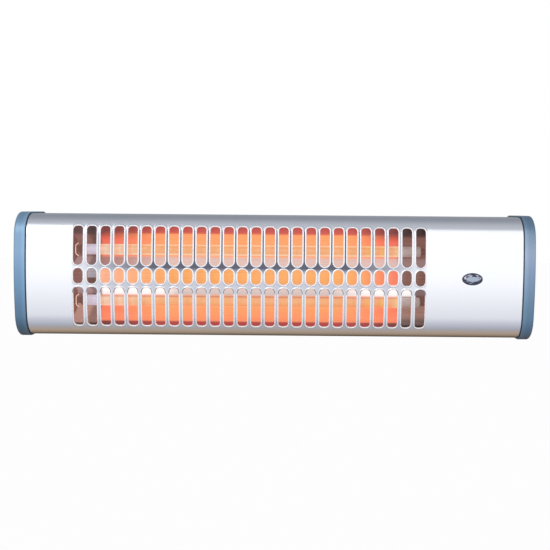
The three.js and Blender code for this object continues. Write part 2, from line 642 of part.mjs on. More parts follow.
const CERAMIC_END = TUBE_HALF + TUBE_END_GAP + PLATE_SHEET + FIT + CERAMIC_FLANGE; // from the chamber's middle
const CRIMP_LENGTH = 2 * CRIMP_OVERLAP + CRIMP_MIDDLE;
const TAIL_END = CERAMIC_END + FIT + CRIMP_OVERLAP;
const COIL_HALF = TUBE_HALF - CERAMIC_SPIGOT - COIL_TAPER - FIT;

for (const [row, z] of Object.entries(TUBES)) {
  const alongTube = (mesh) => { mesh.rotation.z = -Math.PI / 2; };
  const tube = turned([[TUBE_BORE_RADIUS, -TUBE_HALF], [TUBE_RADIUS, -TUBE_HALF], [TUBE_RADIUS, TUBE_HALF],
    [TUBE_BORE_RADIUS, TUBE_HALF], [TUBE_BORE_RADIUS, -TUBE_HALF]], 18);
  alongTube(addTo(casing, `quartz_tube_${row}`, tube, quartz(), CHAMBER_MIDDLE, TUBE_Y, z));
  const coil = turned([[0, -TAIL_END], [TAIL_RADIUS, -TAIL_END], [TAIL_RADIUS, -COIL_HALF - COIL_TAPER],
    [COIL_RADIUS, -COIL_HALF], [COIL_RADIUS, COIL_HALF], [TAIL_RADIUS, COIL_HALF + COIL_TAPER],
    [TAIL_RADIUS, TAIL_END], [0, TAIL_END]], 10);
  alongTube(addTo(casing, `heating_coil_${row}`, coil, glowingWire(), CHAMBER_MIDDLE, TUBE_Y, z));
  for (const [side, sign] of SIDES) {
    addTo(casing, `ceramic_end_${row}_${side}`, ceramicEnd(), steatite(), CHAMBER_MIDDLE + sign * TUBE_HALF,
      TUBE_Y, z).rotation.z = (-sign * Math.PI) / 2;
  }
}

// ---------------------------------------------------------------- leads of the bars

const LINK_X = CHAMBER_MIDDLE - CERAMIC_END - FIT; // inner face of the neutral link
const CRIMP_X = CHAMBER_MIDDLE + CERAMIC_END + FIT; // inner end of the crimps

/** The strip that joins the left tails of both bars. */
function neutralLink() {
  const half = CERAMIC_FLANGE_RADIUS - 1;
  const strip = new THREE.Shape([
    ...arc(TUBE_Y, TUBES.upper, half, 0, Math.PI, 5),
    ...arc(TUBE_Y, TUBES.lower, half, Math.PI, 2 * Math.PI, 5),
  ]);
  const holes = Object.values(TUBES).map((z) =>
    rod('x', TAIL_RADIUS + FIT, LINK_X - 3, LINK_X + 3, 0, TUBE_Y, z, 8));
  return cut(alongX(strip, LINK_X - LINK_SHEET, LINK_X), ...holes);
}

addTo(casing, 'neutral_link', neutralLink(), brass());

for (const [row, z] of Object.entries(TUBES)) {
  const tail = TAIL_RADIUS + FIT;
  const lead = WIRE_RADIUS + FIT;
  const crimp = turned([[tail, 0], [CRIMP_RADIUS, 0], [CRIMP_RADIUS, CRIMP_LENGTH], [lead, CRIMP_LENGTH],
    [lead, CRIMP_OVERLAP + 1], [tail, CRIMP_OVERLAP + 1], [tail, 0]], 10);
  addTo(casing, `crimp_${row}`, crimp, brass(), CRIMP_X, TUBE_Y, z).rotation.z = -Math.PI / 2;
}

// ---------------------------------------------------------------- indicator

const BEZEL_X = LENS_LENGTH / 2 + BEZEL_BORDER;
const BEZEL_Z = LENS_HEIGHT / 2 + BEZEL_BORDER;
const COVER_FACE = FRONT + COVER_INSET; // foremost line of the cover
const BEZEL_BACK = COVER_FACE - FIT;
const BORE_X = LENS_LENGTH / 2 - BEZEL_WALL; // half sizes of the bezel's bore
const BORE_Z = LENS_HEIGHT / 2 - BEZEL_WALL;

function bezel() {
  const plate = alongY(oval(LAMP_X, 0, BEZEL_X, BEZEL_Z, 28), BEZEL_BACK - BEZEL_PROUD, BEZEL_BACK);
  const neckEnd = COVER_FACE + COVER_SHEET + BEZEL_NECK;
  const outside = oval(LAMP_X, 0, LENS_LENGTH / 2 + FIT, LENS_HEIGHT / 2 + FIT, 20);
  const neck = alongY(outside, BEZEL_BACK - 1, neckEnd);
  const bore = alongY(oval(LAMP_X, 0, BORE_X, BORE_Z, 20), BEZEL_BACK - BEZEL_PROUD - 1, neckEnd + 1);
  return cut(join(plate, neck), bore);
}

/** The lens: a low dome in the bezel's bore. */
function lens() {
  const rise = BEZEL_PROUD + LENS_PROUD;
  const dome = new THREE.LatheGeometry([v2(0, 0), v2(1, 0), v2(1, rise * 0.6), v2(0.8, rise * 0.85),
    v2(0.45, rise), v2(0, rise)], 20);
  return dome.rotateX(Math.PI).scale(BORE_X - FIT, 1, BORE_Z - FIT);
}

addTo(casing, 'indicator_bezel', bezel(), darkPlastic());
addTo(casing, 'indicator_lens', lens(), lensPlastic(), LAMP_X, BEZEL_BACK, 0);
addTo(casing, 'lamp_body', alongY(oval(LAMP_X, 0, BORE_X - FIT, BORE_Z - FIT, 12), BEZEL_BACK + FIT,
  BEZEL_BACK + FIT + LAMP_LENGTH), whitePlastic());

// ---------------------------------------------------------------- pull switch

function switchBody() {
  const half = SWITCH_LENGTH / 2;
  const deep = SWITCH_WIDTH / 2;
  const box = block(SWITCH_X - half, SWITCH_X + half, SWITCH_Y - deep, SWITCH_Y + deep, SWITCH_BOTTOM,
    SWITCH_TOP);
  const cheeks = [-1, 1].map((way) => {
    const near = SWITCH_Y + (way * CHEEK_GAP) / 2;
    const far = near + way * CHEEK_THICKNESS;
    return block(PIVOT_X - LEVER_HUB_RADIUS, PIVOT_X + LEVER_HUB_RADIUS + 1, Math.min(near, far),
      Math.max(near, far), SWITCH_BOTTOM - CHEEK_DROP, SWITCH_BOTTOM + 1);
  });
  const screwEnd = SWITCH_TOP - SMALL_SCREW_LENGTH;
  const bores = [
    rod('y', PIN_RADIUS + FIT, SWITCH_Y - deep, SWITCH_Y + deep, PIVOT_X, 0, PIVOT_Z),
    rod('z', SMALL_SCREW_RADIUS + FIT, screwEnd, SWITCH_TOP + 1, SWITCH_X, SWITCH_Y, 0, 10),
  ];
  return cut(join(box, ...cheeks), ...bores);
}

/** The lever around its pivot: hub, arm and the eye that takes the pull cord. */
function switchLever() {
  const half = LEVER_HUB_WIDTH / 2;
  const thin = LEVER_THICKNESS / 2;
  const arm = block(0, LEVER_REACH, -half, half, -thin, thin);
  const hub = rod('y', LEVER_HUB_RADIUS, -half, half, 0, 0, 0);
  const eye = rod('z', LEVER_HUB_RADIUS, -thin, thin, LEVER_REACH, 0, 0);
  const bores = [
    rod('y', PIN_RADIUS + FIT, -half - 1, half + 1, 0, 0, 0),
    rod('z', BUSH_BORE_RADIUS - 0.4, -3, 3, LEVER_REACH, 0, 0, 10),
  ];
  return cut(join(hub, arm, eye), ...bores);
}

/** The lever's torsion spring, wound round the pin beside the hub. */
function returnSpring() {
  const turns = 4;
  const radius = PIN_RADIUS + FIT + SPRING_WIRE_RADIUS + 0.4;
  const width = SPRING_WIDTH - 2 * SPRING_WIRE_RADIUS;
  const points = Array.from({ length: turns * 8 + 1 }, (_, i) => {
    const angle = (i * Math.PI) / 4;
    return v3(radius * Math.cos(angle), (width * i) / (turns * 8) - width / 2, radius * Math.sin(angle));
  });
  return wire(points, SPRING_WIRE_RADIUS, turns * 8);
}

/** An angle bracket on the back pan, with the switch hung under its shelf. */
function switchShelf() {
  const half = SWITCH_LENGTH / 2 - 1;
  const front = SWITCH_Y - SWITCH_WIDTH / 2;
  const [x0, x1, top] = [SWITCH_X - half, SWITCH_X + half, SWITCH_TOP + SHELF_SHEET];
  const shelf = block(x0, x1, front, PAN_FACE, SWITCH_TOP, top);
  const foot = block(x0, x1, PAN_FACE - SHELF_SHEET, PAN_FACE, SWITCH_TOP, SWITCH_TOP + SHELF_FOOT);
  const hole = rod('z', SMALL_SCREW_RADIUS + FIT, SWITCH_TOP - 1, top + 1, SWITCH_X, SWITCH_Y, 0, 10);
  return cut(join(shelf, foot), hole);
}

/** The bush that leads the pull cord out through the underside. */
function cordBush() {
  return turned([[BUSH_BORE_RADIUS, -BUSH_LIP], [BUSH_NECK_RADIUS + BUSH_BRIM * 0.8, -BUSH_LIP],
    [BUSH_NECK_RADIUS + BUSH_BRIM, 0], [BUSH_NECK_RADIUS, 0], [BUSH_NECK_RADIUS, BUSH_NECK],
    [BUSH_BORE_RADIUS, BUSH_NECK], [BUSH_BORE_RADIUS, -BUSH_LIP]], 16);
}

addTo(casing, 'switch_body', switchBody(), whitePlastic());
addTo(casing, 'switch_lever', switchLever(), darkPlastic(), PIVOT_X, LEVER_Y, PIVOT_Z);
addTo(casing, 'switch_pin', rod('y', PIN_RADIUS, -PIN_HALF, PIN_HALF, 0, 0, 0, 10), zincSteel(), PIVOT_X,
  SWITCH_Y, PIVOT_Z);
addTo(casing, 'switch_spring', returnSpring(), zincSteel(), PIVOT_X,
  SWITCH_Y + CHEEK_GAP / 2 - FIT - SPRING_WIDTH / 2, PIVOT_Z);
addTo(casing, 'switch_shelf', switchShelf(), zincSteel());
addTo(casing, 'cord_bush', cordBush(), darkPlastic(), EYE_X, LEVER_Y, COVER_BOTTOM).rotation.x = Math.PI / 2;
addTo(casing, 'switch_screw', screw(SMALL_SCREW_RADIUS, SMALL_SCREW_HEAD_RADIUS, SMALL_SCREW_HEAD,
  SMALL_SCREW_LENGTH), zincSteel(), SWITCH_X, SWITCH_Y, SWITCH_TOP + SHELF_SHEET).rotation.x = Math.PI / 2;

// ---------------------------------------------------------------- terminals and inlet

const TERMINALS = { live: -TERMINAL_PITCH, earth: 0, neutral: TERMINAL_PITCH };
function terminalBlock() {
  const half = BLOCK_LENGTH / 2;
  const face = PAN_FACE - BLOCK_DEPTH;
  const box = block(BLOCK_X - half, BLOCK_X + half, face, PAN_FACE, BLOCK_BOTTOM, BLOCK_TOP);
  const z = (BLOCK_BOTTOM + BLOCK_TOP) / 2;
  const wellEnd = face + WELL_DEPTH;
  const wells = Object.values(TERMINALS).flatMap((x) => [
    rod('y', SMALL_SCREW_HEAD_RADIUS + FIT, face - 1, wellEnd, BLOCK_X + x, 0, z),
    rod('y', SMALL_SCREW_RADIUS + FIT, face, wellEnd + TERMINAL_SCREW_LENGTH + 1, BLOCK_X + x, 0, z, 10),
  ]);
  return cut(box, ...wells);
}

addTo(casing, 'terminal_block', terminalBlock(), whitePlastic());
for (const [name, x] of Object.entries(TERMINALS)) {
  addTo(casing, `terminal_screw_${name}`,
    screw(SMALL_SCREW_RADIUS, SMALL_SCREW_HEAD_RADIUS, SMALL_SCREW_HEAD, TERMINAL_SCREW_LENGTH), brass(),
    BLOCK_X + x, PAN_FACE - BLOCK_DEPTH + WELL_DEPTH, (BLOCK_BOTTOM + BLOCK_TOP) / 2).rotation.z = Math.PI;
}
addTo(casing, 'earth_screw', screw(SMALL_SCREW_RADIUS, EARTH_SCREW_HEAD_RADIUS, EARTH_SCREW_HEAD,
  PAN_SHEET + THREAD_PAST_SHEET), brass(), EARTH_X, PAN_FACE, EARTH_Z).rotation.z = Math.PI;

/** The rubber grommet of the mains inlet, along +Y, with y = 0 at the pan's rear face. */
function grommet() {
  const brim = GROMMET_NECK_RADIUS + GROMMET_BRIM;
  const round = GROMMET_NECK_RADIUS + GROMMET_BRIM * 0.65;
  const inside = -PAN_SHEET - GROMMET_INNER_LIP;
  return turned([[GROMMET_BORE_RADIUS, inside], [round, inside], [brim, -PAN_SHEET],
    [GROMMET_NECK_RADIUS, -PAN_SHEET], [GROMMET_NECK_RADIUS, 0], [brim, 0], [round, GROMMET_OUTER_LIP],
    [GROMMET_BORE_RADIUS, GROMMET_OUTER_LIP], [GROMMET_BORE_RADIUS, inside]], 16);
}

addTo(casing, 'mains_grommet', grommet(), blackRubber(), GROMMET_X, PAN_REAR, GROMMET_Z);

// ---------------------------------------------------------------- internal wires

const CRIMP_WIRE_X = CRIMP_X + CRIMP_OVERLAP + 1 + FIT; // where a wire starts inside its crimp
const CRIMP_EXIT_X = CRIMP_X + CRIMP_LENGTH + WIRE_STUB / 2;
const SWITCH_LEFT = SWITCH_X - SWITCH_LENGTH / 2 - FIT;
const SWITCH_FRONT = SWITCH_Y - SWITCH_WIDTH / 2;
const ENTRY_FRONT = SWITCH_Y - ENTRY_SPREAD;
const ENTRY_REAR = SWITCH_Y + ENTRY_SPREAD;
const OVER_BLOCK = BLOCK_TOP + FIT;
const UNDER_BLOCK = BLOCK_BOTTOM - FIT;
const [LIVE_X, EARTH_POLE_X, NEUTRAL_X] = Object.values(TERMINALS).map((x) => BLOCK_X + x);

// From the neutral link through both element plates, behind the reflector, to the terminal block
const linkStart = LINK_X - LINK_SHEET - FIT;
const returnZ = -TUBE_DROP;
addTo(casing, 'wire_neutral_return', wire([
  v3(linkStart, TUBE_Y, returnZ), v3(linkStart - WIRE_BEND, TUBE_Y + WIRE_BEND / 3, returnZ),
  v3(linkStart - WIRE_BEND, RETURN_WIRE_Y - WIRE_BEND / 3, returnZ),
  v3(LEFT_PLATE - WIRE_BEND, RETURN_WIRE_Y, returnZ), v3(LEFT_PLATE, RETURN_WIRE_Y, returnZ),
  v3(CHAMBER_MIDDLE, RETURN_WIRE_Y, returnZ), v3(RIGHT_PLATE, RETURN_WIRE_Y, returnZ),
  v3(RIGHT_PLATE + WIRE_BEND, RETURN_WIRE_Y, returnZ), v3(NEUTRAL_X - WIRE_BEND, RETURN_WIRE_Y, returnZ),
  v3(NEUTRAL_X, BLOCK_Y, UNDER_BLOCK - WIRE_BEND), v3(NEUTRAL_X, BLOCK_Y, UNDER_BLOCK),
], WIRE_RADIUS, 44), insulation('#2f5fa8'));

// From the crimps to the left side of the switch
addTo(casing, 'wire_live_upper', wire([
  v3(CRIMP_WIRE_X, TUBE_Y, TUBES.upper), v3(CRIMP_EXIT_X, TUBE_Y, TUBES.upper),
  v3(CRIMP_WIRE_X + WIRE_BEND, TUBE_Y, TUBES.upper),
  v3(CRIMP_WIRE_X + 2 * WIRE_BEND, TUBE_Y, TUBES.upper - WIRE_BEND),
  v3(SWITCH_LEFT - 2 * WIRE_STUB, ENTRY_FRONT, SWITCH_TOP),
  v3(SWITCH_LEFT - WIRE_STUB, ENTRY_FRONT, SWITCH_TOP - ENTRY_PITCH),
  v3(SWITCH_LEFT, ENTRY_FRONT, SWITCH_TOP - ENTRY_PITCH),
]), insulation('#e9e4d8'));
const lowerEntry = SWITCH_TOP - 3 * ENTRY_PITCH;
addTo(casing, 'wire_live_lower', wire([
  v3(CRIMP_WIRE_X, TUBE_Y, TUBES.lower), v3(CRIMP_EXIT_X, TUBE_Y, TUBES.lower),
  v3(CRIMP_WIRE_X + WIRE_BEND, TUBE_Y, TUBES.lower),
  v3(SWITCH_LEFT - WIRE_STUB, ENTRY_FRONT, lowerEntry), v3(SWITCH_LEFT, ENTRY_FRONT, lowerEntry),
]), insulation('#e9e4d8'));

// From the terminal block's live pole down to the switch, behind the neutral return
const feedEntry = SWITCH_TOP - 2 * ENTRY_PITCH;
addTo(casing, 'wire_switch_feed', wire([
  v3(LIVE_X, BLOCK_Y, UNDER_BLOCK), v3(LIVE_X, BLOCK_Y, UNDER_BLOCK - WIRE_STUB),
  v3(SWITCH_LEFT - WIRE_BEND, BLOCK_Y - WIRE_BEND / 3, returnZ + WIRE_BEND / 2),
  v3(SWITCH_LEFT - WIRE_BEND, RETURN_WIRE_Y, SWITCH_TOP),
  v3(SWITCH_LEFT - WIRE_STUB, ENTRY_REAR, feedEntry), v3(SWITCH_LEFT, ENTRY_REAR, feedEntry),
]), insulation('#7a3b22'));

// From the terminal block's earth pole to the pan
addTo(casing, 'wire_earth', wire([
  v3(EARTH_POLE_X, BLOCK_Y, OVER_BLOCK), v3(EARTH_POLE_X, BLOCK_Y, OVER_BLOCK + WIRE_STUB),
  v3(EARTH_POLE_X - WIRE_BEND, BLOCK_Y, OVER_BLOCK + WIRE_BEND),
  v3(BLOCK_X - BLOCK_LENGTH / 2 - WIRE_STUB / 2, BLOCK_Y, OVER_BLOCK + WIRE_STUB),
  v3(EARTH_X, BLOCK_Y, EARTH_Z + WIRE_BEND), v3(EARTH_X, PAN_FACE - EARTH_SCREW_HEAD - WIRE_STUB, EARTH_Z),
  v3(EARTH_X, PAN_FACE - EARTH_SCREW_HEAD - FIT, EARTH_Z),
]), insulation('#6f9b3c'));

// The indicator's two thin leads
const lampBack = BEZEL_BACK + FIT + LAMP_LENGTH + FIT;
const pinX = LAMP_PIN_SPREAD / 2;
addTo(casing, 'wire_lamp_neutral', wire([
  v3(LAMP_X + pinX, lampBack, 0), v3(LAMP_X + pinX, lampBack + WIRE_STUB, WIRE_STUB / 2),
  v3(NEUTRAL_X, BLOCK_Y - WIRE_BEND, OVER_BLOCK + WIRE_STUB),
  v3(NEUTRAL_X, BLOCK_Y, OVER_BLOCK + WIRE_STUB), v3(NEUTRAL_X, BLOCK_Y, OVER_BLOCK),
], LAMP_WIRE_RADIUS), insulation('#20232a'));
addTo(casing, 'wire_lamp_live', wire([
  v3(LAMP_X - pinX, lampBack, 0), v3(LAMP_X - pinX, lampBack + WIRE_STUB, 0),
  v3(LAMP_X - pinX, lampBack + WIRE_BEND, SWITCH_TOP + WIRE_STUB),
  v3(LAMP_X - pinX, SWITCH_FRONT - WIRE_STUB, SWITCH_TOP - ENTRY_PITCH),
  v3(LAMP_X - pinX, SWITCH_FRONT - FIT, SWITCH_TOP - ENTRY_PITCH),
], LAMP_WIRE_RADIUS), insulation('#20232a'));

// ---------------------------------------------------------------- tilt joint

/** An angle lug spot-welded to the back pan: a foot, and an upright with the stud hole. */
function pivotLug(sign) {
  const outer = sign * LUG_X;
  const inner = outer - sign * LUG_SHEET;
  const footEnd = outer - sign * LUG_FOOT_WIDTH;
  const foot = block(Math.min(outer, footEnd), Math.max(outer, footEnd), PAN_REAR, LUG_REAR,
    -LUG_FOOT_HEIGHT / 2, LUG_FOOT_HEIGHT / 2);
  const upright = new THREE.Shape([v2(PAN_REAR, LUG_FOOT_HEIGHT / 2), v2(PAN_REAR, -LUG_FOOT_HEIGHT / 2),
    ...arc(0, 0, EAR_RADIUS, -Math.PI / 2, Math.PI / 2, 8)]);
  const plate = alongX(upright, Math.min(inner, outer), Math.max(inner, outer));
  return cut(join(foot, plate), rod('x', STUD_HOLE_RADIUS, outer - 4, outer + 4, 0, 0, 0));
}

function washer() {
  return turned([[STUD_HOLE_RADIUS, 0], [WASHER_RADIUS, 0], [WASHER_RADIUS, WASHER_THICKNESS],
    [STUD_HOLE_RADIUS, WASHER_THICKNESS], [STUD_HOLE_RADIUS, 0]], 18);
}

/** The hexagonal clamp nut on the inner face of a lug. */
function clampNut() {
  const hexagon = rod('y', NUT_ACROSS_CORNERS / 2, 0, NUT_THICKNESS, 0, 0, 0, 6);
  return cut(hexagon, rod('y', STUD_HOLE_RADIUS, -1, NUT_THICKNESS + 1, 0, 0, 0));
}

/** A wing knob along +Y, with y = 0 at the face that bears on the ear. */
function wingKnob() {
  const half = KNOB_WING_WIDTH / 2;
  const wings = new THREE.Shape([
    ...arc(0, KNOB_REACH - half, half, 0, Math.PI, 4),
    ...arc(0, half - KNOB_REACH, half, Math.PI, 2 * Math.PI, 4),
  ]);
  const skirt = rod('y', KNOB_HUB_RADIUS + KNOB_SKIRT_RIM, 0, KNOB_SKIRT, 0, 0, 0, 16);
  const hub = rod('y', KNOB_HUB_RADIUS, 0, KNOB_LENGTH, 0, 0, 0, 16);
  const bore = rod('y', STUD_HOLE_RADIUS, -1, STUD_IN_KNOB + FIT, 0, 0, 0);
  return cut(join(skirt, hub, alongY(wings, KNOB_SKIRT - 1, KNOB_LENGTH)), bore);
}

const KNOB_X = EAR_X + BRACKET_SHEET + FIT;
const NUT_X = LUG_X - LUG_SHEET - NUT_THICKNESS; // inner face of a clamp nut
const STUD_INNER_X = NUT_X - STUD_PAST_NUT;

for (const [side, sign] of SIDES) {
  const outwards = (mesh) => { mesh.rotation.z = (-sign * Math.PI) / 2; };
  addTo(casing, `pivot_lug_${side}`, pivotLug(sign), zincSteel());
  outwards(addTo(casing, `friction_washer_${side}`, washer(), blackRubber(), sign * (LUG_X + FIT), 0, 0));
  outwards(addTo(casing, `clamp_nut_${side}`, clampNut(), zincSteel(), sign * NUT_X, 0, 0));
  outwards(addTo(casing, `tilt_knob_${side}`, wingKnob(), darkPlastic(), sign * KNOB_X, 0, 0));
  const stud = rod('y', STUD_RADIUS, STUD_INNER_X - KNOB_X, STUD_IN_KNOB, 0, 0, 0, 12);
  outwards(addTo(casing, `knob_stud_${side}`, stud, zincSteel(), sign * KNOB_X, 0, 0));
}

// ---------------------------------------------------------------- wall bracket

/** A keyhole in (x, z) for a wall screw: a round head hole with a slot above it. */
function keyhole(x) {
  const lean = Math.asin(KEYHOLE_SLOT_RADIUS / KEYHOLE_HEAD_RADIUS);
  return new THREE.Shape([
    ...arc(x, KEYHOLE_DROP, KEYHOLE_SLOT_RADIUS, 0, Math.PI, 4),
    ...arc(x, 0, KEYHOLE_HEAD_RADIUS, Math.PI / 2 + lean, 2.5 * Math.PI - lean, 12),
  ]);
}

/** The pressed bracket: a wall plate with two hems and two ears around the tilt axis. */
function wallBracket() {
  const outer = EAR_X + BRACKET_SHEET;
  const half = BRACKET_HEIGHT / 2;
  const hemEnd = EAR_X - HEM_FROM_EAR;
  const plate = block(-outer, outer, -BRACKET_SHEET, 0, -half, half);
  const hems = [1, -1].map((up) => {
    const [edge, inside] = [up * half, up * (half - BRACKET_SHEET)];
    return block(-hemEnd, hemEnd, -BRACKET_HEM, 0, Math.min(edge, inside), Math.max(edge, inside));
  });
  const axis = -TILT_AXIS_TO_WALL;
  const ear = new THREE.Shape([
    v2(0, half), ...arc(axis, 0, EAR_RADIUS, Math.PI / 2, Math.PI * 1.5, 8), v2(0, -half),
  ]);
  const ears = [alongX(ear, -outer, -EAR_X), alongX(ear, EAR_X, outer)];
  const holes = [
    rod('x', STUD_HOLE_RADIUS, -outer - 1, outer + 1, 0, axis, 0),
    alongY([keyhole(-KEYHOLE_SPACING / 2), keyhole(KEYHOLE_SPACING / 2)], -BRACKET_SHEET - 1, 1),
  ];
  return cut(join(plate, ...hems, ...ears), ...holes);
}

addTo(heater, 'wall_bracket', wallBracket(), zincSteel());

export default heater;
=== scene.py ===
# %% [markdown]
# # An electric bar heater
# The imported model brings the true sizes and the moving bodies. This lesson dresses it: it rebuilds the
# pieces that the eye reads first as finer surfaces, gives every other piece a finish made of nodes, and
# then lights and frames the heater. Every length below is in millimetres until it enters a mesh.
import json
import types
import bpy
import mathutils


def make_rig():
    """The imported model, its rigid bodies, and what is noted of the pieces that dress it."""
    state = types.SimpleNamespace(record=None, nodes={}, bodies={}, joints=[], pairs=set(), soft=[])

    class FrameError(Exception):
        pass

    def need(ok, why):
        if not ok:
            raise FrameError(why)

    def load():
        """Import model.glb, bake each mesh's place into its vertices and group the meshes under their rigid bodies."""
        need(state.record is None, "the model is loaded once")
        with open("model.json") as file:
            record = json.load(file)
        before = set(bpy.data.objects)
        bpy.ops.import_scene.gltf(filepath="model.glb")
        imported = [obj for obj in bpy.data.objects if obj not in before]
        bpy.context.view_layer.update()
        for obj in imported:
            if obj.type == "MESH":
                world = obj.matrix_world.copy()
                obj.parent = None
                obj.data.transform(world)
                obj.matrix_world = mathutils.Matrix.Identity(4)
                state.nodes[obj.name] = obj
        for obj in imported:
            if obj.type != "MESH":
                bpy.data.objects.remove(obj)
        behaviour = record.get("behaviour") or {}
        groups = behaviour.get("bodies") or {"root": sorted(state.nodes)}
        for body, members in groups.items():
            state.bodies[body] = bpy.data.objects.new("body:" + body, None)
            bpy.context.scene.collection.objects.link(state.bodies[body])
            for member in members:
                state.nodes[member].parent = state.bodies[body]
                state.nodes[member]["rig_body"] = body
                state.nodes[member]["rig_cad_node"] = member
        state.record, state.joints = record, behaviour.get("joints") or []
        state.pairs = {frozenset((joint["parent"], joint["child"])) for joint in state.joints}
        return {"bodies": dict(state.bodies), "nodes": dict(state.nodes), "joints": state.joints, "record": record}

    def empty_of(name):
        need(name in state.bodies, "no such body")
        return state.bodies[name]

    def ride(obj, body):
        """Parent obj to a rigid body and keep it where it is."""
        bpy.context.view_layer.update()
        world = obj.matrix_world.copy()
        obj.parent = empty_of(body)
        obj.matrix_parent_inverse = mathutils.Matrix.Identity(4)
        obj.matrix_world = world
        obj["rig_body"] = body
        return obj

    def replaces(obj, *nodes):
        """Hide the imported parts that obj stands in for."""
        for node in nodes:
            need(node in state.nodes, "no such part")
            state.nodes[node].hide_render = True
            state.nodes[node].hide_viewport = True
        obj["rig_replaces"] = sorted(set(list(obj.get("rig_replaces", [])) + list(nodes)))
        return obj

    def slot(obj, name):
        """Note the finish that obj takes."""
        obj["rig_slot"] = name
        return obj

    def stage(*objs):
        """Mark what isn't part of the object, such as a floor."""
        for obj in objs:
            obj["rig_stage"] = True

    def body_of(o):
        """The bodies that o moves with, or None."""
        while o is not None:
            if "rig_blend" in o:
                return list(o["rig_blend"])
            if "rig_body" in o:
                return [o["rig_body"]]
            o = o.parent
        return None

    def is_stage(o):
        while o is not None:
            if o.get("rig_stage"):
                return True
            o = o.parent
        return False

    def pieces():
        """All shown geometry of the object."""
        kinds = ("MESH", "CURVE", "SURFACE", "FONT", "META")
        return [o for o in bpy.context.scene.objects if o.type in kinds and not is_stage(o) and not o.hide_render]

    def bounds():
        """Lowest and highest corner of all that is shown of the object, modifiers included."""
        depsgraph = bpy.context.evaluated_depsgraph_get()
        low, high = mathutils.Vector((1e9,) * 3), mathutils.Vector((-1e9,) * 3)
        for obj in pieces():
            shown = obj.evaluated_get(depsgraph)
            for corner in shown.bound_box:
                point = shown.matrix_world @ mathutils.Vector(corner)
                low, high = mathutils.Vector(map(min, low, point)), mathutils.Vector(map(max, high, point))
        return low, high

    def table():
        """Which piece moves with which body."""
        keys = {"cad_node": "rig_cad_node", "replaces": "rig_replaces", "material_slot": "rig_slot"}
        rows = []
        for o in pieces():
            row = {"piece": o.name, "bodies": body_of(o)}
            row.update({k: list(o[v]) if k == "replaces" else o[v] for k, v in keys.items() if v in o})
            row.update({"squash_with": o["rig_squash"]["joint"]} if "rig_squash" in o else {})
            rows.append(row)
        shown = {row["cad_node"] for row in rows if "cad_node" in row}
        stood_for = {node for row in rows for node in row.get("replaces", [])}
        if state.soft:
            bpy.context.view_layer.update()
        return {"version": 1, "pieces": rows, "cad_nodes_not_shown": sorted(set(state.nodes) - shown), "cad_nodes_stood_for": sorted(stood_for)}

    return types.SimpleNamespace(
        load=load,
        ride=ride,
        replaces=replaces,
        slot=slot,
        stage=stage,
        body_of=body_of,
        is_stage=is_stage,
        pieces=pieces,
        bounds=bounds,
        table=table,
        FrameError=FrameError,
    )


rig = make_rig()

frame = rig.load()

import json
import math

import bmesh
import bpy
import numpy as np
from mathutils import Matrix, Vector, geometry

MM = 0.001
bpy.context.scene.view_settings.view_transform = "Standard"
nodes = frame["nodes"]
cad_low, cad_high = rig.bounds()
print("nodes", len(nodes), "box", [round(v, 4) for v in (*cad_low, *cad_high)])

# %% [markdown]
# ## Camera
# The heater was photographed from a little above its middle, from about 0.87 m. A camera that looks
# straight along the heater's depth keeps both ends equally tall. It stands a little to the right, and a
# small lens shift brings the heater back to the middle of the frame without turning the camera. The scale
# is set on the plane of the front: one pixel there is a known share of a millimetre.

# %% Place the camera
FRAME_PIXELS = 550
FRONT_Y = -115.0
PIXEL_MM = 0.9655
CAMERA_DISTANCE = 870.0
CAMERA_SIDE = 16.6
CAMERA_RISE = math.radians(4.2)
CAMERA_ROLL = 0.0088
SHIFT = -0.0304
AIM_UP = 2.7

camera_data = bpy.data.cameras.new("camera")
camera = bpy.data.objects.new("camera", camera_data)
bpy.context.scene.collection.objects.link(camera)
bpy.context.scene.camera = camera
aim = Vector((CAMERA_SIDE, FRONT_Y, AIM_UP))
place = Vector((CAMERA_SIDE, FRONT_Y - CAMERA_DISTANCE * math.cos(CAMERA_RISE),
                AIM_UP + CAMERA_DISTANCE * math.sin(CAMERA_RISE)))
camera.location = place * MM
look = (aim - place).to_track_quat("-Z", "Y").to_matrix().to_4x4()
camera.matrix_world = Matrix.Translation(place * MM) @ look @ Matrix.Rotation(CAMERA_ROLL, 4, "Z")
camera_data.sensor_width = 36.0
camera_data.lens = 36.0 * (aim - place).length / (FRAME_PIXELS * PIXEL_MM)
camera_data.shift_x = SHIFT
camera_data.clip_start, camera_data.clip_end = 0.05, 50.0
print("lens", round(camera_data.lens, 2), "place", [round(v, 1) for v in place])

# %% [markdown]
# ## The studio
# Polished steel shows its surroundings more than its own colour, so the surroundings are built first:
# one bright soft field in front and above, a grey field behind the heater's top, and a warm brown one
# below. The angle round the heater's length tells them apart. Rays that come straight from the camera or
# pass through glass get plain white instead, as the photograph's background is. Mirrored rays keep the
# studio, because it is what gives the steel its bands of grey, white and brown.

# %% Build the surroundings and the floor
def linear(red, green, blue):
    """A screen colour from 0 to 255 as linear light."""
    return tuple(c / 255 / 12.92 if c <= 10 else ((c / 255 + 0.055) / 1.055) ** 2.4
                 for c in (red, green, blue))


def add(tree, kind, **values):
    """A new node of one kind. Words set its properties, or its input sockets of that name."""
    made = tree.nodes.new("ShaderNode" + kind)
    for key, value in values.items():
        if hasattr(made, key):
            setattr(made, key, value)
        else:
            made.inputs[key.replace("_", " ").title()].default_value = value
    return made


def ramp(tree, source, stops):
    """A colour ramp from (place, linear colour) pairs, fed by a socket."""
    made = tree.nodes.new("ShaderNodeValToRGB")
    steps = made.color_ramp.elements
    while len(steps) < len(stops):
        steps.new(0.5)
    for step, (place_on_ramp, colour) in zip(steps, stops):
        step.position = place_on_ramp
        step.color = (*colour, 1.0)
    tree.links.new(source, made.inputs["Fac"])
    return made.outputs["Color"]


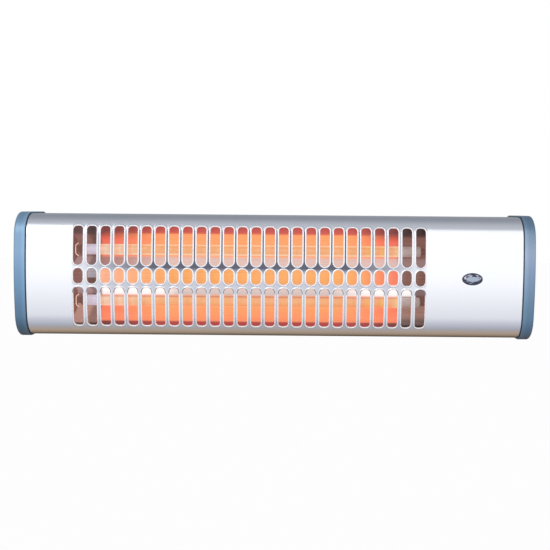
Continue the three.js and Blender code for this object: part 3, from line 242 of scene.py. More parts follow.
def maths(tree, operation, a, b=None, c=None):
    """A Math node. Sockets are linked and numbers are set."""
    made = tree.nodes.new("ShaderNodeMath")
    made.operation = operation
    for socket, value in zip(made.inputs, (a, b, c)):
        if value is None:
            continue
        if isinstance(value, (int, float)):
            socket.default_value = value
        else:
            tree.links.new(value, socket)
    return made.outputs[0]


def mix_shaders(tree, factor, first, second, output):
    """A mix of two shader nodes by a factor socket, which becomes the tree's output."""
    mixed = add(tree, "MixShader")
    for socket, source in zip(mixed.inputs, (factor, first.outputs[0], second.outputs[0])):
        tree.links.new(source, socket)
    tree.links.new(mixed.outputs[0], add(tree, output).inputs[0])


def empty_tree(owner):
    """The cleared node tree of a world or a material."""
    owner.use_nodes = True
    owner.node_tree.nodes.clear()
    return owner.node_tree


world = bpy.data.worlds.new("studio")
bpy.context.scene.world = world
tree = empty_tree(world)
split = add(tree, "SeparateXYZ")
tree.links.new(add(tree, "TexCoord").outputs["Generated"], split.inputs[0])
# 0 looks ahead of the heater, a quarter turn looks up, and half a turn looks behind it
ahead = maths(tree, "MULTIPLY", split.outputs["Y"], -1.0)
turn = maths(tree, "ARCTAN2", split.outputs["Z"], ahead)
round_trip = maths(tree, "MULTIPLY_ADD", turn, 1 / (2 * math.pi), 0.5)


def heading(degrees):
    """The place on the ramp of a direction, in degrees above straight ahead."""
    return degrees / 360 + 0.5


# degrees above straight ahead, and the light that comes from there
STUDIO = [(-180, (0.34, 0.32, 0.31)), (-142, (0.07, 0.05, 0.035)), (-124, (0.33, 0.24, 0.165)),
          (-104, (0.47, 0.36, 0.27)), (-88, (0.49, 0.395, 0.33)), (-75, (0.42, 0.41, 0.43)),
          (-62, (0.50, 0.515, 0.58)), (-31, (0.70, 0.71, 0.77)), (-20, (0.87, 0.875, 0.92)),
          (-10, (1.12, 1.11, 1.14)), (-4, (1.24, 1.24, 1.24)), (48.4, (1.20, 1.20, 1.20)),
          (53.9, (0.46, 0.48, 0.54)), (66, (0.55, 0.57, 0.62)), (84, (0.48, 0.50, 0.54)),
          (104, (0.34, 0.36, 0.40)), (128, (0.29, 0.31, 0.35)), (180, (0.36, 0.37, 0.40))]
surround = ramp(tree, round_trip, [(heading(angle), colour) for angle, colour in STUDIO])
studio_light = add(tree, "Background")
tree.links.new(surround, studio_light.inputs["Color"])
backdrop = add(tree, "Background")
backdrop.inputs["Color"].default_value = (1, 1, 1, 1)
rays = add(tree, "LightPath").outputs
seen_directly = maths(tree, "MAXIMUM", rays["Is Camera Ray"], rays["Is Transmission Ray"])
mix_shaders(tree, seen_directly, studio_light, backdrop, "OutputWorld")


def soft_lamp(name, watts, size, place_m, aim_m):
    """A square area lamp that faces a point."""
    data = bpy.data.lights.new(name, "AREA")
    data.energy, data.size = watts, size
    lamp = bpy.data.objects.new(name, data)
    lamp.matrix_world = Matrix.Translation(place_m) @ (
        Vector(aim_m) - Vector(place_m)).to_track_quat("-Z", "Y").to_matrix().to_4x4()
    bpy.context.scene.collection.objects.link(lamp)


soft_lamp("key", watts=7.0, size=1.2, place_m=(-0.9, -1.6, 1.3), aim_m=(0.0, -0.08, 0.0))

# metres, and how white the camera sees the floor
FLOOR_Z, FLOOR_WHITE = -0.62, 0.97
floor_mesh = bpy.data.meshes.new("floor")
floor_corners = [(-9, -7, FLOOR_Z), (9, -7, FLOOR_Z), (9, 11, FLOOR_Z), (-9, 11, FLOOR_Z)]
floor_mesh.from_pydata(floor_corners, [], [(0, 1, 2, 3)])
floor = bpy.data.objects.new("floor", floor_mesh)
bpy.context.scene.collection.objects.link(floor)
floor.visible_glossy = False
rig.stage(floor)
floor_paint = bpy.data.materials.new("floor_paint")
tree = empty_tree(floor_paint)
paint = add(tree, "BsdfDiffuse")
paint.inputs["Color"].default_value = (0.82, 0.80, 0.78, 1)
seen_directly = maths(tree, "MULTIPLY", add(tree, "LightPath").outputs["Is Camera Ray"], FLOOR_WHITE)
mix_shaders(tree, seen_directly, paint, add(tree, "Emission"), "OutputMaterial")
floor_mesh.materials.append(floor_paint)
print("surroundings of", len(STUDIO), "stops, floor at", FLOOR_Z)

# %% [markdown]
# ## Finishes
# Every finish is a Principled shader. What is the same all over a piece is set on the shader's own
# sockets, and what varies comes from noise, bands and masks in Object coordinates and from values that the
# mesh carries, so that it stays on the piece. Some of these bands and masks are painted light and shade.

# %% The general finish
class Finish:
    """A material under construction: its tree, its shader and its Object coordinates."""

    def __init__(self, name, colour, roughness, metallic=0.0, coat=0.0):
        self.material = bpy.data.materials.new(name)
        self.material.use_nodes = True
        self.tree = self.material.node_tree
        self.shader = self.tree.nodes["Principled BSDF"]
        self.colour = colour
        for socket, value in (("Base Color", (*colour, 1)), ("Roughness", roughness), ("Metallic", metallic),
                              ("Coat Weight", coat), ("IOR", 1.5)):
            self.shader.inputs[socket].default_value = value
        self.place = self.tree.nodes.new("ShaderNodeTexCoord").outputs["Object"]

    def split(self, vector):
        """The x, y and z sockets of a vector."""
        made = add(self.tree, "SeparateXYZ")
        self.tree.links.new(vector, made.inputs[0])
        return tuple(made.outputs)

    def stretched(self, scale):
        """Object coordinates times a scale on each axis, for grain that runs one way."""
        mapping = add(self.tree, "Mapping", vector_type="POINT", scale=scale)
        self.tree.links.new(self.place, mapping.inputs["Vector"])
        return mapping.outputs["Vector"]

    def noise(self, scale, detail=2.0, vector=None):
        """Noise from 0 to 1."""
        made = add(self.tree, "TexNoise", scale=scale, detail=detail)
        self.tree.links.new(vector or self.place, made.inputs["Vector"])
        return made.outputs["Fac"]

    def attribute(self, name):
        """A value that the mesh carries."""
        return add(self.tree, "Attribute", attribute_name=name).outputs["Fac"]

    def maths(self, operation, *values):
        """A Math node of this finish."""
        return maths(self.tree, operation, *values)

    def share(self, source, low, high, **looks):
        """0 where a socket is at low and 1 where it is at high, and even between them."""
        made = add(self.tree, "MapRange", from_min=low, from_max=high, **looks)
        self.tree.links.new(source, made.inputs["Value"])
        return made.outputs["Result"]

    def window(self, source, start, start_soft, end, end_soft):
        """1 between two places in millimetres and 0 outside, with a soft step inside each end."""
        steps = [self.share(source, low * MM, high * MM, interpolation_type="SMOOTHSTEP")
                 for low, high in ((start, start + start_soft), (end, end - end_soft))]
        return self.maths("MULTIPLY", *steps)

    def ramp(self, source, stops):
        """A colour ramp of this finish."""
        return ramp(self.tree, source, stops)

    def bands(self, source, bands, low, high):
        """A colour ramp whose places are millimetres between two limits."""
        return self.ramp(self.share(source, low * MM, high * MM),
                         [((at - low) / (high - low), colour) for at, colour in bands])

    def blend(self, factor, a, b, way="MIX"):
        """A mix of two colours, each a socket or a linear colour."""
        made = add(self.tree, "Mix", data_type="RGBA", blend_type=way)
        for socket, value in (("Factor", factor), ("A", a), ("B", b)):
            if isinstance(value, (tuple, float)):
                made.inputs[socket].default_value = value if isinstance(value, float) else (*value, 1)
            else:
                self.tree.links.new(value, made.inputs[socket])
        return made.outputs["Result"]

    def multiply(self, a, b):
        """The product of two colours."""
        return self.blend(1.0, a, b, "MULTIPLY")

    def link(self, socket, name):
        """Feeds one of the shader's sockets."""
        self.tree.links.new(socket, self.shader.inputs[name])

    def vary_colour(self, source, dark, light):
        """Base colour between two shades of the finish's own colour."""
        shades = [(0.3, tuple(c * dark for c in self.colour)),
                  (0.7, tuple(min(c * light, 1) for c in self.colour))]
        self.link(self.ramp(source, shades), "Base Color")

    def vary_roughness(self, source, low, high):
        """Roughness between two values."""
        self.link(self.share(source, 0.0, 1.0, to_min=low, to_max=high), "Roughness")

    def bump(self, source, height, strength=0.4):
        """Relief of a height in metres."""
        made = add(self.tree, "Bump", strength=strength, distance=height)
        self.tree.links.new(source, made.inputs["Height"])
        self.link(made.outputs["Normal"], "Normal")

    def glow(self, strength, colour=None):
        """Light of its own, in a colour that is set here or fed by a link."""
        self.shader.inputs["Emission Strength"].default_value = strength
        if colour:
            self.shader.inputs["Emission Color"].default_value = (*colour, 1)


def plain_metal(name, colour, roughness, grain=(60, 60, 900)):
    """Sheet or turned metal with a fine rolled grain and faint cloudy wear."""
    finish = Finish(name, colour, roughness, metallic=1.0)
    grain_noise = finish.noise(1.0, 3.0, finish.stretched(grain))
    finish.vary_colour(finish.noise(45.0, 3.0), 0.88, 1.06)
    finish.vary_roughness(grain_noise, roughness - 0.08, roughness + 0.12)
    finish.bump(grain_noise, 0.00006)
    return finish.material


def moulded(name, colour, roughness, pebble=900.0):
    """Moulded plastic with a fine pebbled skin and slight clouds in its colour."""
    finish = Finish(name, colour, roughness)
    finish.vary_colour(finish.noise(30.0, 2.0), 0.93, 1.05)
    pebbles = finish.noise(pebble, 1.0)
    finish.vary_roughness(pebbles, roughness - 0.05, roughness + 0.08)
    finish.bump(pebbles, 0.00004, 0.25)
    return finish.material


zinc = plain_metal("zinc_plated_steel", linear(190, 194, 200), 0.36)
brass = plain_metal("brass", linear(206, 174, 98), 0.32)
pan_paint = moulded("pan_enamel", linear(222, 224, 228), 0.42, 500.0)
white_nylon = moulded("white_nylon", linear(232, 230, 222), 0.45)
black_plastic = moulded("black_plastic", linear(38, 42, 48), 0.48)
rubber = moulded("rubber", linear(30, 30, 32), 0.75, 500.0)
print("general finishes", [m.name for m in (zinc, brass, pan_paint, white_nylon, black_plastic, rubber)])

# %% [markdown]
# ## Making a piece
# A surface comes as whole arrays of points and of four-cornered faces. Points that coincide are welded,
# so seams close, and the faces are turned outwards. Edges sharper than a limit stay crisp.

# %% The piece maker
def grid_faces(rows, columns, start=0, closed=False):
    """Four-cornered faces of a grid of rows x columns points, closed round the columns or open."""
    i, j = np.meshgrid(np.arange(rows - 1), np.arange(columns if closed else columns - 1), indexing="ij")
    k = (j + 1) % columns
    quads = np.stack([i * columns + j, i * columns + k, (i + 1) * columns + k, (i + 1) * columns + j], -1)
    return quads.reshape(-1, 4) + start


class Patchwork:
    """Grids of points in millimetres, gathered into one mesh."""

    def __init__(self):
        self.points, self.faces, self.values, self.count = [], [], [], 0

    def grid(self, points, closed=False, value=None):
        """Adds an array of rows x columns x 3 points, with an optional value at each."""
        rows, columns = points.shape[:2]
        self.faces += grid_faces(rows, columns, self.count, closed).tolist()
        self.add_points(points.reshape(-1, 3), value)

    def flat(self, loops):
        """Fills a plane area: the first loop is its outside, the others are holes. Needs equal x, y or z."""
        points = np.concatenate(loops)
        across = int(np.argmin(np.ptp(points, axis=0)))
        keep = [a for a in range(3) if a != across]
        starts = np.cumsum([0] + [len(loop) for loop in loops])
        rims = [list(range(a, b)) for a, b in zip(starts[:-1], starts[1:])]
        edges = [(rim[k], rim[(k + 1) % len(rim)]) for rim in rims for k in range(len(rim))]
        flat_points = [Vector(p) for p in points[:, keep].tolist()]
        _, _, faces, _, _, _ = geometry.delaunay_2d_cdt(flat_points, edges, [], 0, 1e-6)
        centres = np.array([points[f][:, keep].mean(axis=0) for f in faces])
        outside = inside_loop(centres, loops[0][:, keep])
        for hole in loops[1:]:
            outside &= ~inside_loop(centres, hole[:, keep])
        self.faces += [[v + self.count for v in f] for f, good in zip(faces, outside) if good]
        self.add_points(points, None)

    def add_points(self, points, value):
        """Keeps points and the value at each, which is 0 where none is given."""
        self.points.append(points)
        self.values.append(np.zeros(len(points)) if value is None else np.broadcast_to(value, len(points)))
        self.count += len(points)


def inside_loop(points, loop):
    """Which 2-D points lie in a closed loop, by the crossings of a ray to the right."""
    a, b = loop, np.roll(loop, -1, axis=0)
    px, py = points[:, None, 0], points[:, None, 1]
    crosses = (a[None, :, 1] > py) != (b[None, :, 1] > py)
    slope = (b[:, 0] - a[:, 0]) / np.where(b[:, 1] == a[:, 1], 1e-12, b[:, 1] - a[:, 1])
    at = a[None, :, 0] + (py - a[None, :, 1]) * slope[None]
    return (crosses & (px < at)).sum(axis=1) % 2 == 1


def finish_piece(name, work, body, material, replaces=(), slot=None, crisp=35.0, attribute=None):
    """Welds a patchwork into one object, turns it outwards, smooths it and lets it ride on a body."""
    mesh = bpy.data.meshes.new(name)
    mesh.from_pydata((np.concatenate(work.points) * MM).tolist(), [], work.faces)
    if attribute:
        layer = mesh.attributes.new(attribute, "FLOAT", "POINT")
        layer.data.foreach_set("value", np.concatenate(work.values).astype(np.float32))
    shape = bmesh.new()
    shape.from_mesh(mesh)
    bmesh.ops.remove_doubles(shape, verts=shape.verts, dist=2e-6)
    bmesh.ops.dissolve_degenerate(shape, edges=shape.edges, dist=1e-7)
    bmesh.ops.recalc_face_normals(shape, faces=shape.faces)
    open_edges = sum(not e.is_manifold for e in shape.edges)
    shape.to_mesh(mesh)
    shape.free()
    mesh.shade_smooth()
    mesh.set_sharp_from_angle(angle=math.radians(crisp))
    piece = bpy.data.objects.new(name, mesh)
    bpy.context.scene.collection.objects.link(piece)
    mesh.materials.append(material)
    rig.ride(piece, body)
    if replaces:
        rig.replaces(piece, *replaces)
    if slot:
        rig.slot(piece, slot)
    print(name, "faces", len(mesh.polygons), "open edges", open_edges)


def turned_piece(work, profile, centre, sides):
    """A turned surface: pairs of (distance along x, radius) spun round the line through a centre."""
    along, radius = np.array(profile, float).T
    angle = np.linspace(0, 2 * np.pi, sides, endpoint=False)
    x = np.broadcast_to(along[:, None], (len(along), sides))
    spun = np.stack([x, radius[:, None] * np.cos(angle), radius[:, None] * np.sin(angle)], -1)
    work.grid(spun + np.array(centre, float), closed=True)


def round_wire(centre, out, thickness, sides):
    """Rings of a round wire along centre points. Out is square to the wire, at each point or for all."""
    forward = np.gradient(centre, axis=0)
    forward /= np.linalg.norm(forward, axis=1, keepdims=True)
    side = np.cross(forward, out)
    around = np.linspace(0, 2 * np.pi, sides, endpoint=False)[None, :, None]
    ring = np.broadcast_to(out, side.shape)[:, None] * np.cos(around) + side[:, None] * np.sin(around)
    return centre[:, None] + thickness * ring


print("ready: patchworks of grids, flat fillings, turned pieces and round wires")

# %% [markdown]
# ## The casing's outline
# Seen from the end the casing is a D: a flat back, a front that bows on a radius of 330 mm, and round
# corners between them. The front cover and the end caps both follow it, at different insets, so one
# function gives the point and the outward direction for any height.

# %% The outline
HALF_LENGTH, HALF_HEIGHT, BACK_Y = 252.5, 61.5, -37.0
BOW_RADIUS, CORNER_RADIUS, BACK_RADIUS = 330.0, 24.0, 5.0
CORNER_Z = HALF_HEIGHT - CORNER_RADIUS
BOW_Y = FRONT_Y + BOW_RADIUS
LEAN = math.asin(CORNER_Z / (BOW_RADIUS - CORNER_RADIUS))
CORNER_Y = BOW_Y - (BOW_RADIUS - CORNER_RADIUS) * math.cos(LEAN)


def arc_points(centre_y, centre_z, radius, start, end, steps):
    """Points and outward directions on an arc in (y, z): angles in radians from +Y towards +Z."""
    angle = np.linspace(start, end, steps + 1)
    out = np.stack([np.cos(angle), np.sin(angle)], -1)
    return np.array([centre_y, centre_z]) + radius * out, out


def front_surface(z, inset):
    """Point and outward direction of the front at heights z: the bow, or a corner beyond it."""
    z = np.asarray(z, float)
    bow, corner = BOW_RADIUS - inset, CORNER_RADIUS - inset
    on_bow = np.abs(z) <= bow * math.sin(LEAN)
    over = np.clip(np.abs(z) - CORNER_Z, 0, corner)
    y = np.where(on_bow, BOW_Y - np.sqrt(bow ** 2 - z ** 2), CORNER_Y - np.sqrt(corner ** 2 - over ** 2))
    out_y = np.where(on_bow, (y - BOW_Y) / bow, (y - CORNER_Y) / corner)
    out_z = np.where(on_bow, z / bow, np.sign(z) * over / corner)
    return np.stack([y, z], -1), np.stack([out_y, out_z], -1)


def casing_loop(inset, corner_steps=14):
    """The whole outline as one closed loop in (y, z): back corner, top corner and bow, then mirrored."""
    top = HALF_HEIGHT - BACK_RADIUS
    half = np.concatenate([
        arc_points(BACK_Y - BACK_RADIUS, top, BACK_RADIUS - inset, 0, np.pi / 2, 6)[0],
        arc_points(CORNER_Y, CORNER_Z, CORNER_RADIUS - inset, np.pi / 2, np.pi - LEAN, corner_steps)[0]])
    bow = arc_points(BOW_Y, 0, BOW_RADIUS - inset, np.pi - LEAN, np.pi + LEAN, 14)[0][1:-1]
    return np.concatenate([half, bow, (half * [1, -1])[::-1]])


print("bow tangent at z", round(BOW_RADIUS * math.sin(LEAN), 2), "corner y", round(CORNER_Y, 2))

# %% [markdown]
# ## The slotted front cover
# The real cover is one sheet of brushed stainless steel, pierced by 26 columns of three slots. The press
# leaves each slot with a raised, rolled rim, and the rims, with a painted highlight on them, make the grille
# sparkle. Cutting holes with a Boolean would give ragged shading, so each slot is a set of rings instead:
# the rings grow from the slot's edge over the rim and end on the rectangle that the slot shares with its
# neighbours.

# %% The slots
COLUMNS, PITCH, MIDDLE_X, SLOT_HALF = 26, 13.27, -24.5, 4.6
COVER_INSET, SHEET, COVER_END = 1.6, 0.8, 249.2
GRILLE_HALF, WAIST_HALF, LIP_WIDTH = 50.4, 9.1, 14.0
END_STEPS, LONG_STEPS, WAIST_STEPS = 8, 14, 6
# each row: its lowest and highest z, its slots' lowest and highest z, their corners' radii, and the steps
# along a slot's side
ROWS = [(WAIST_HALF, GRILLE_HALF, 10.6, 48.4, 4.6, 3.0, LONG_STEPS),
        (-WAIST_HALF, WAIST_HALF, -7.6, 7.6, 4.6, 4.6, WAIST_STEPS),
        (-GRILLE_HALF, -WAIST_HALF, -48.4, -10.6, 3.0, 4.6, LONG_STEPS)]
# distance from the slot's edge, height over the sheet, and how much the rim's painted highlight shows there
RIM = [(1.42, 0.0, 0.0), (1.26, 0.06, 0.1), (1.06, 0.24, 0.6), (0.80, 0.36, 1.0), (0.50, 0.36, 1.0),
       (0.20, 0.20, 0.9), (0.03, -0.08, 0.6), (0.0, -0.40, 0.3), (0.0, -0.80, 0.0), (0.6, -0.80, 0.0)]


def slot_ring(x, low, high, r_low, r_high, side_steps, offset):
    """One ring round a slot in (x, z), moved outwards by an offset, with corners of two radii."""
    a = SLOT_HALF

    def end(z, radius, way):
        """A quarter round, a flat run and a quarter round, cut at equal shares of their length."""
        share = np.linspace(0, 1, END_STEPS + 1)
        arc = np.pi * radius
        flat = 2 * (a - radius)
        travel = share * (arc + flat)
        quarter = arc / 2
        first = np.clip(travel / quarter, 0, 1) * np.pi / 2
        along = np.clip(travel - quarter, 0, flat)
        second = np.clip((travel - quarter - flat) / quarter, 0, 1) * np.pi / 2
        turned = first + second
        return np.stack([x + a - radius - along + (radius + offset) * np.cos(turned),
                         z + way * (radius + offset) * np.sin(turned)], -1)

    top = end(high - r_high, r_high, 1)
    bottom = end(low + r_low, r_low, -1)[::-1]
    z_side = np.linspace(high - r_high, low + r_low, side_steps + 1)[1:-1]
    left = np.stack([np.full_like(z_side, x - a - offset), z_side], -1)
    right = np.stack([np.full_like(z_side, x + a + offset), z_side[::-1]], -1)
    return np.concatenate([top, left, bottom, right])


def cell_ring(x, low, high, side_steps):
    """The rectangle round a slot, with as many points as its rings."""
    x_line = np.linspace(x + PITCH / 2, x - PITCH / 2, END_STEPS + 1)
    z_line = np.linspace(high, low, side_steps + 1)[1:-1]
    top = np.stack([x_line, np.full_like(x_line, high)], -1)
    left = np.stack([np.full_like(z_line, x - PITCH / 2), z_line], -1)
    bottom = np.stack([x_line[::-1], np.full_like(x_line, low)], -1)
    right = np.stack([np.full_like(z_line, x + PITCH / 2), z_line[::-1]], -1)
    return np.concatenate([top, left, bottom, right])


def on_cover(flat_points, height):
    """Lifts (x, z) points onto the cover: the sheet's outer face plus a height along its normal."""
    place_yz, out = front_surface(flat_points[..., 1], COVER_INSET)
    lifted = place_yz + out * np.asarray(height)[..., None]
    return np.stack([flat_points[..., 0], lifted[..., 0], lifted[..., 1]], -1)


cover = Patchwork()
column_x = MIDDLE_X + (np.arange(COLUMNS) - (COLUMNS - 1) / 2) * PITCH
grille_left, grille_right = column_x[0] - PITCH / 2, column_x[-1] + PITCH / 2
for x in column_x:
    for low, high, slot_low, slot_high, r_low, r_high, side_steps in ROWS:
        border = cell_ring(x, low, high, side_steps)
        inner_side = (border[:, 0] > grille_left + 0.01) & (border[:, 0] < grille_right - 0.01)
        bar_value = np.where(inner_side & (np.abs(border[:, 1]) < GRILLE_HALF), 0.0, 0.5)
        rings = [slot_ring(x, slot_low, slot_high, r_low, r_high, side_steps, d) for d, _, _ in RIM]
        flat_rings = np.stack([border, *rings, border])
        heights = np.array([0.0] + [h for _, h, _ in RIM] + [-SHEET])
        heights = np.broadcast_to(heights[:, None], flat_rings.shape[:2])
        # 0 in the middle of a bar, 0.5 on the plain sheet and 1 on a rim
        rim_values = [np.full(len(border), 0.5 + 0.5 * m) for _, _, m in RIM[1:]]
        finish_value = np.stack([bar_value, bar_value, *rim_values, np.full(len(border), 0.5)])
        cover.grid(on_cover(flat_rings, heights), closed=True, value=finish_value.reshape(-1))
print("slots", COLUMNS * len(ROWS), "points so far", cover.count)

# %% [markdown]
# The rest of the cover is plain sheet. It carries on from the grille with the same lines, wraps round
# both corners and turns in along the back, and a second skin 0.8 mm inside closes it.

# %% The plain sheet
def sheet_lines(height):
    """(y, z) points of the cover from its top lip to the grille, at a height over the sheet."""
    lip = HALF_HEIGHT - COVER_INSET - LIP_WIDTH
    rear = BACK_Y - COVER_INSET
    straight = np.stack([np.full(4, rear), np.linspace(lip, HALF_HEIGHT - BACK_RADIUS, 4)], -1)
    corner, corner_out = arc_points(BACK_Y - BACK_RADIUS, HALF_HEIGHT - BACK_RADIUS,
                                    BACK_RADIUS - COVER_INSET, 0, np.pi / 2, 5)
    flat_top = np.stack([np.linspace(corner[-1, 0], CORNER_Y, 5), np.full(5, HALF_HEIGHT - COVER_INSET)], -1)
    grille_top = math.asin((GRILLE_HALF - CORNER_Z) / (CORNER_RADIUS - COVER_INSET))
    bend, bend_out = arc_points(CORNER_Y, CORNER_Z, CORNER_RADIUS - COVER_INSET, np.pi / 2,
                                np.pi - grille_top, 12)
    points = np.concatenate([straight, corner[1:], flat_top[1:], bend[1:]])
    out = np.concatenate([np.tile([1.0, 0.0], (4, 1)), corner_out[1:], np.tile([0.0, 1.0], (4, 1)),
                          bend_out[1:]])
    return points + out * height


def spread(x_lines, yz):
    """A grid that carries a (y, z) line along x."""
    x_grid = np.broadcast_to(x_lines[None, :], (len(yz), len(x_lines)))
    return np.concatenate([x_grid[..., None], np.broadcast_to(yz[:, None, :], (*x_grid.shape, 2))], -1)


cell_lines = np.concatenate([np.linspace(x - PITCH / 2, x + PITCH / 2, END_STEPS + 1)[:-1]
                             for x in column_x])
left_lines = np.linspace(-COVER_END, grille_left, 9)
right_lines = np.linspace(grille_right, COVER_END, 15)
all_lines = np.concatenate([left_lines[:-1], cell_lines, right_lines])
grille_z = np.concatenate([np.linspace(WAIST_HALF, GRILLE_HALF, LONG_STEPS + 1)[::-1],
                           np.linspace(-WAIST_HALF, WAIST_HALF, WAIST_STEPS + 1)[::-1][1:],
                           np.linspace(-GRILLE_HALF, -WAIST_HALF, LONG_STEPS + 1)[::-1][1:]])
for height in (0.0, -SHEET):
    upper = sheet_lines(height)
    cover.grid(spread(all_lines, upper), value=0.5)
    cover.grid(spread(all_lines, upper * [1, -1]), value=0.5)
    for x_lines in (left_lines, right_lines):
        flat_points = np.stack(np.meshgrid(x_lines, grille_z), -1)
        cover.grid(on_cover(flat_points, np.full(flat_points.shape[:2], height)), value=0.5)
middle_outer = front_surface(grille_z, COVER_INSET)
whole_outer = np.concatenate([sheet_lines(0.0), middle_outer[0][1:-1], (sheet_lines(0.0) * [1, -1])[::-1]])
whole_inner = np.concatenate([sheet_lines(-SHEET), (middle_outer[0] - middle_outer[1] * SHEET)[1:-1],
                              (sheet_lines(-SHEET) * [1, -1])[::-1]])
for x in (-COVER_END, COVER_END):
    rim_line = np.stack([whole_outer, whole_inner])
    cover.grid(np.concatenate([np.full((*rim_line.shape[:2], 1), x), rim_line], -1), value=0.5)
for sign in (1, -1):
    lip = np.stack([sheet_lines(0.0)[0], sheet_lines(-SHEET)[0]]) * [1, sign]
    cover.grid(spread(all_lines, lip), value=0.5)
print("points with the plain sheet", cover.count)

# %% [markdown]
# Brushed steel is a mirror drawn out along one direction by thousands of fine scratches. Here they run
# up and down the sheet, so noise is stretched that way and drives the roughness and a little relief. The
# value that the rings carry paints the rims whiter, a painted highlight, and the bars between them a darker
# blue grey, a painted reflection.

# %% Brushed steel
steel = Finish("brushed_steel", linear(232, 234, 238), 0.22, metallic=1.0)
scratches = steel.noise(1.0, 4.0, steel.stretched((1500, 30, 30)))
clouds = steel.noise(1.0, 2.0, steel.stretched((9, 9, 3)))
steel.vary_roughness(scratches, 0.16, 0.30)
steel.bump(scratches, 0.00003, 0.35)
part_of_grille = steel.attribute("rim")
x_place, _, z_place = steel.split(steel.place)
# painted highlight on the rims, painted reflection on the bars in white, pale grey and slate
SHEET_TONE, RIM_HIGHLIGHT, RIM_SHADE = linear(236, 238, 242), linear(250, 251, 254), linear(150, 150, 158)
WHITE_BAR, PALE_BAR, SLATE_BAR = linear(226, 230, 238), linear(196, 199, 208), linear(96, 97, 110)
SLATE_RUN, GREY_RUN, SLATE_RISE = (-205, 95, 150, 80), (-200, 45, 150, 40), (2.0, 8.5)
SHADED_RIMS = (-17.5, 2.5, -10.5, 1.0)
slate = steel.maths("MULTIPLY", steel.window(x_place, *SLATE_RUN),
                    steel.share(z_place, *(z * MM for z in SLATE_RISE)))
bar_reflection = steel.blend(steel.window(x_place, *GREY_RUN), WHITE_BAR, PALE_BAR)
bar_reflection = steel.blend(slate, bar_reflection, SLATE_BAR)
in_bar = steel.ramp(part_of_grille, [(0.05, (1.0, 1.0, 1.0)), (0.36, (0.0, 0.0, 0.0))])
on_rim = steel.ramp(part_of_grille, [(0.60, (0.0, 0.0, 0.0)), (0.95, (1.0, 1.0, 1.0))])
# painted shade: the upper rims of the lower slots turn away from the light, so they are painted grey
rim_highlight_and_shade = steel.blend(steel.window(z_place, *SHADED_RIMS), RIM_HIGHLIGHT, RIM_SHADE)
tones = steel.blend(in_bar, steel.blend(on_rim, SHEET_TONE, rim_highlight_and_shade), bar_reflection)
cloudy = steel.ramp(clouds, [(0.3, (0.965, 0.97, 0.985)), (0.7, (1.0, 1.0, 1.0))])
steel.link(steel.multiply(tones, cloudy), "Base Color")
steel.link(steel.ramp(on_rim, [(0.0, (1.0, 1.0, 1.0)), (1.0, (0.35, 0.35, 0.35))]), "Metallic")
finish_piece("front_sheet", cover, "casing", steel.material, replaces=["front_cover"], slot="brushed_steel",
             crisp=50.0, attribute="rim")

# %% [markdown]
# ## End caps
# Each cap is a moulded tray that slips over the cover's end. Its wall stands 1.6 mm proud of the sheet,
# its outer edge is rounded, and two screws sit in shallow recesses of its end. The shape is a stack of
# outlines, each at its own x and inset, and the end face is filled round the recesses.

# %% The end caps
SIDES = (("left", -1), ("right", 1))
CAP_START, CAP_EDGE, RIM_WALL, END_WALL = 241.5, 2.2, 1.3, 3.0
RECESS_RADIUS, RECESS_DEPTH, CAP_SCREW_Y, CAP_SCREW_Z = 3.9, 1.2, -53.4, 28.0
quarter_turn = np.linspace(0, np.pi / 2, 8)
CAP_SECTION = [(HALF_LENGTH - END_WALL, RIM_WALL), (CAP_START + 0.3, RIM_WALL),
               (CAP_START + 0.07, RIM_WALL - 0.1), (CAP_START, RIM_WALL - 0.3), (CAP_START, 0.7),
               (CAP_START + 0.12, 0.36), (CAP_START + 0.38, 0.11), (CAP_START + 0.72, 0.0)]
CAP_SECTION += [(HALF_LENGTH - CAP_EDGE + CAP_EDGE * math.sin(a), CAP_EDGE * (1 - math.cos(a)))
                for a in quarter_turn]


def circle(centre_y, centre_z, radius, x, sides=28):
    """A circle of points in the plane of an x."""
    angle = np.linspace(0, 2 * np.pi, sides, endpoint=False)
    y, z = centre_y + radius * np.cos(angle), centre_z + radius * np.sin(angle)
    return np.stack([np.full(sides, x), y, z], -1)


def outline_at(x, inset):
    """The casing's outline in the plane of an x, moved inwards by an inset."""
    loop = casing_loop(inset)
    return np.concatenate([np.full((len(loop), 1), x), loop], -1)


def end_cap(sign):
    """Stacks the outlines of one cap and closes its inner and outer ends."""
    work = Patchwork()
    stack = [outline_at(sign * x, inset) for x, inset in CAP_SECTION]
    work.grid(np.stack(stack), closed=True)
    work.flat([stack[0]])
    recesses = [circle(CAP_SCREW_Y, up * CAP_SCREW_Z, RECESS_RADIUS, sign * HALF_LENGTH) for up in (1, -1)]
    work.flat([stack[-1], *recesses])
    for recess in recesses:
        floor_loop = recess - np.array([sign * RECESS_DEPTH, 0, 0])
        work.grid(np.stack([recess, floor_loop]), closed=True)
        work.flat([floor_loop])
    return work


blue = Finish("blue_plastic", linear(122, 158, 196), 0.36, metallic=0.4, coat=0.15)
x_place, _, z_place = blue.split(blue.place)
# painted shade: the caps are painted darker towards the bottom
CAP_SHADE = [(-58, linear(80, 108, 132)), (-26, linear(98, 135, 168)), (2, linear(118, 156, 192)),
             (24, linear(136, 170, 204)), (52, linear(128, 162, 192))]
# painted reflection: the right cap mirrors a greyer part of the room, so its colour is tinted by height
GREYER_REFLECTION = [(-52, (1.22, 1.16, 1.18)), (-32, (1.1, 1.03, 0.96)), (-3, (1.2, 0.96, 0.9)),
          (28, (1.2, 0.94, 0.89)), (42, (0.9, 0.8, 0.77)), (52, (0.64, 0.63, 0.64))]
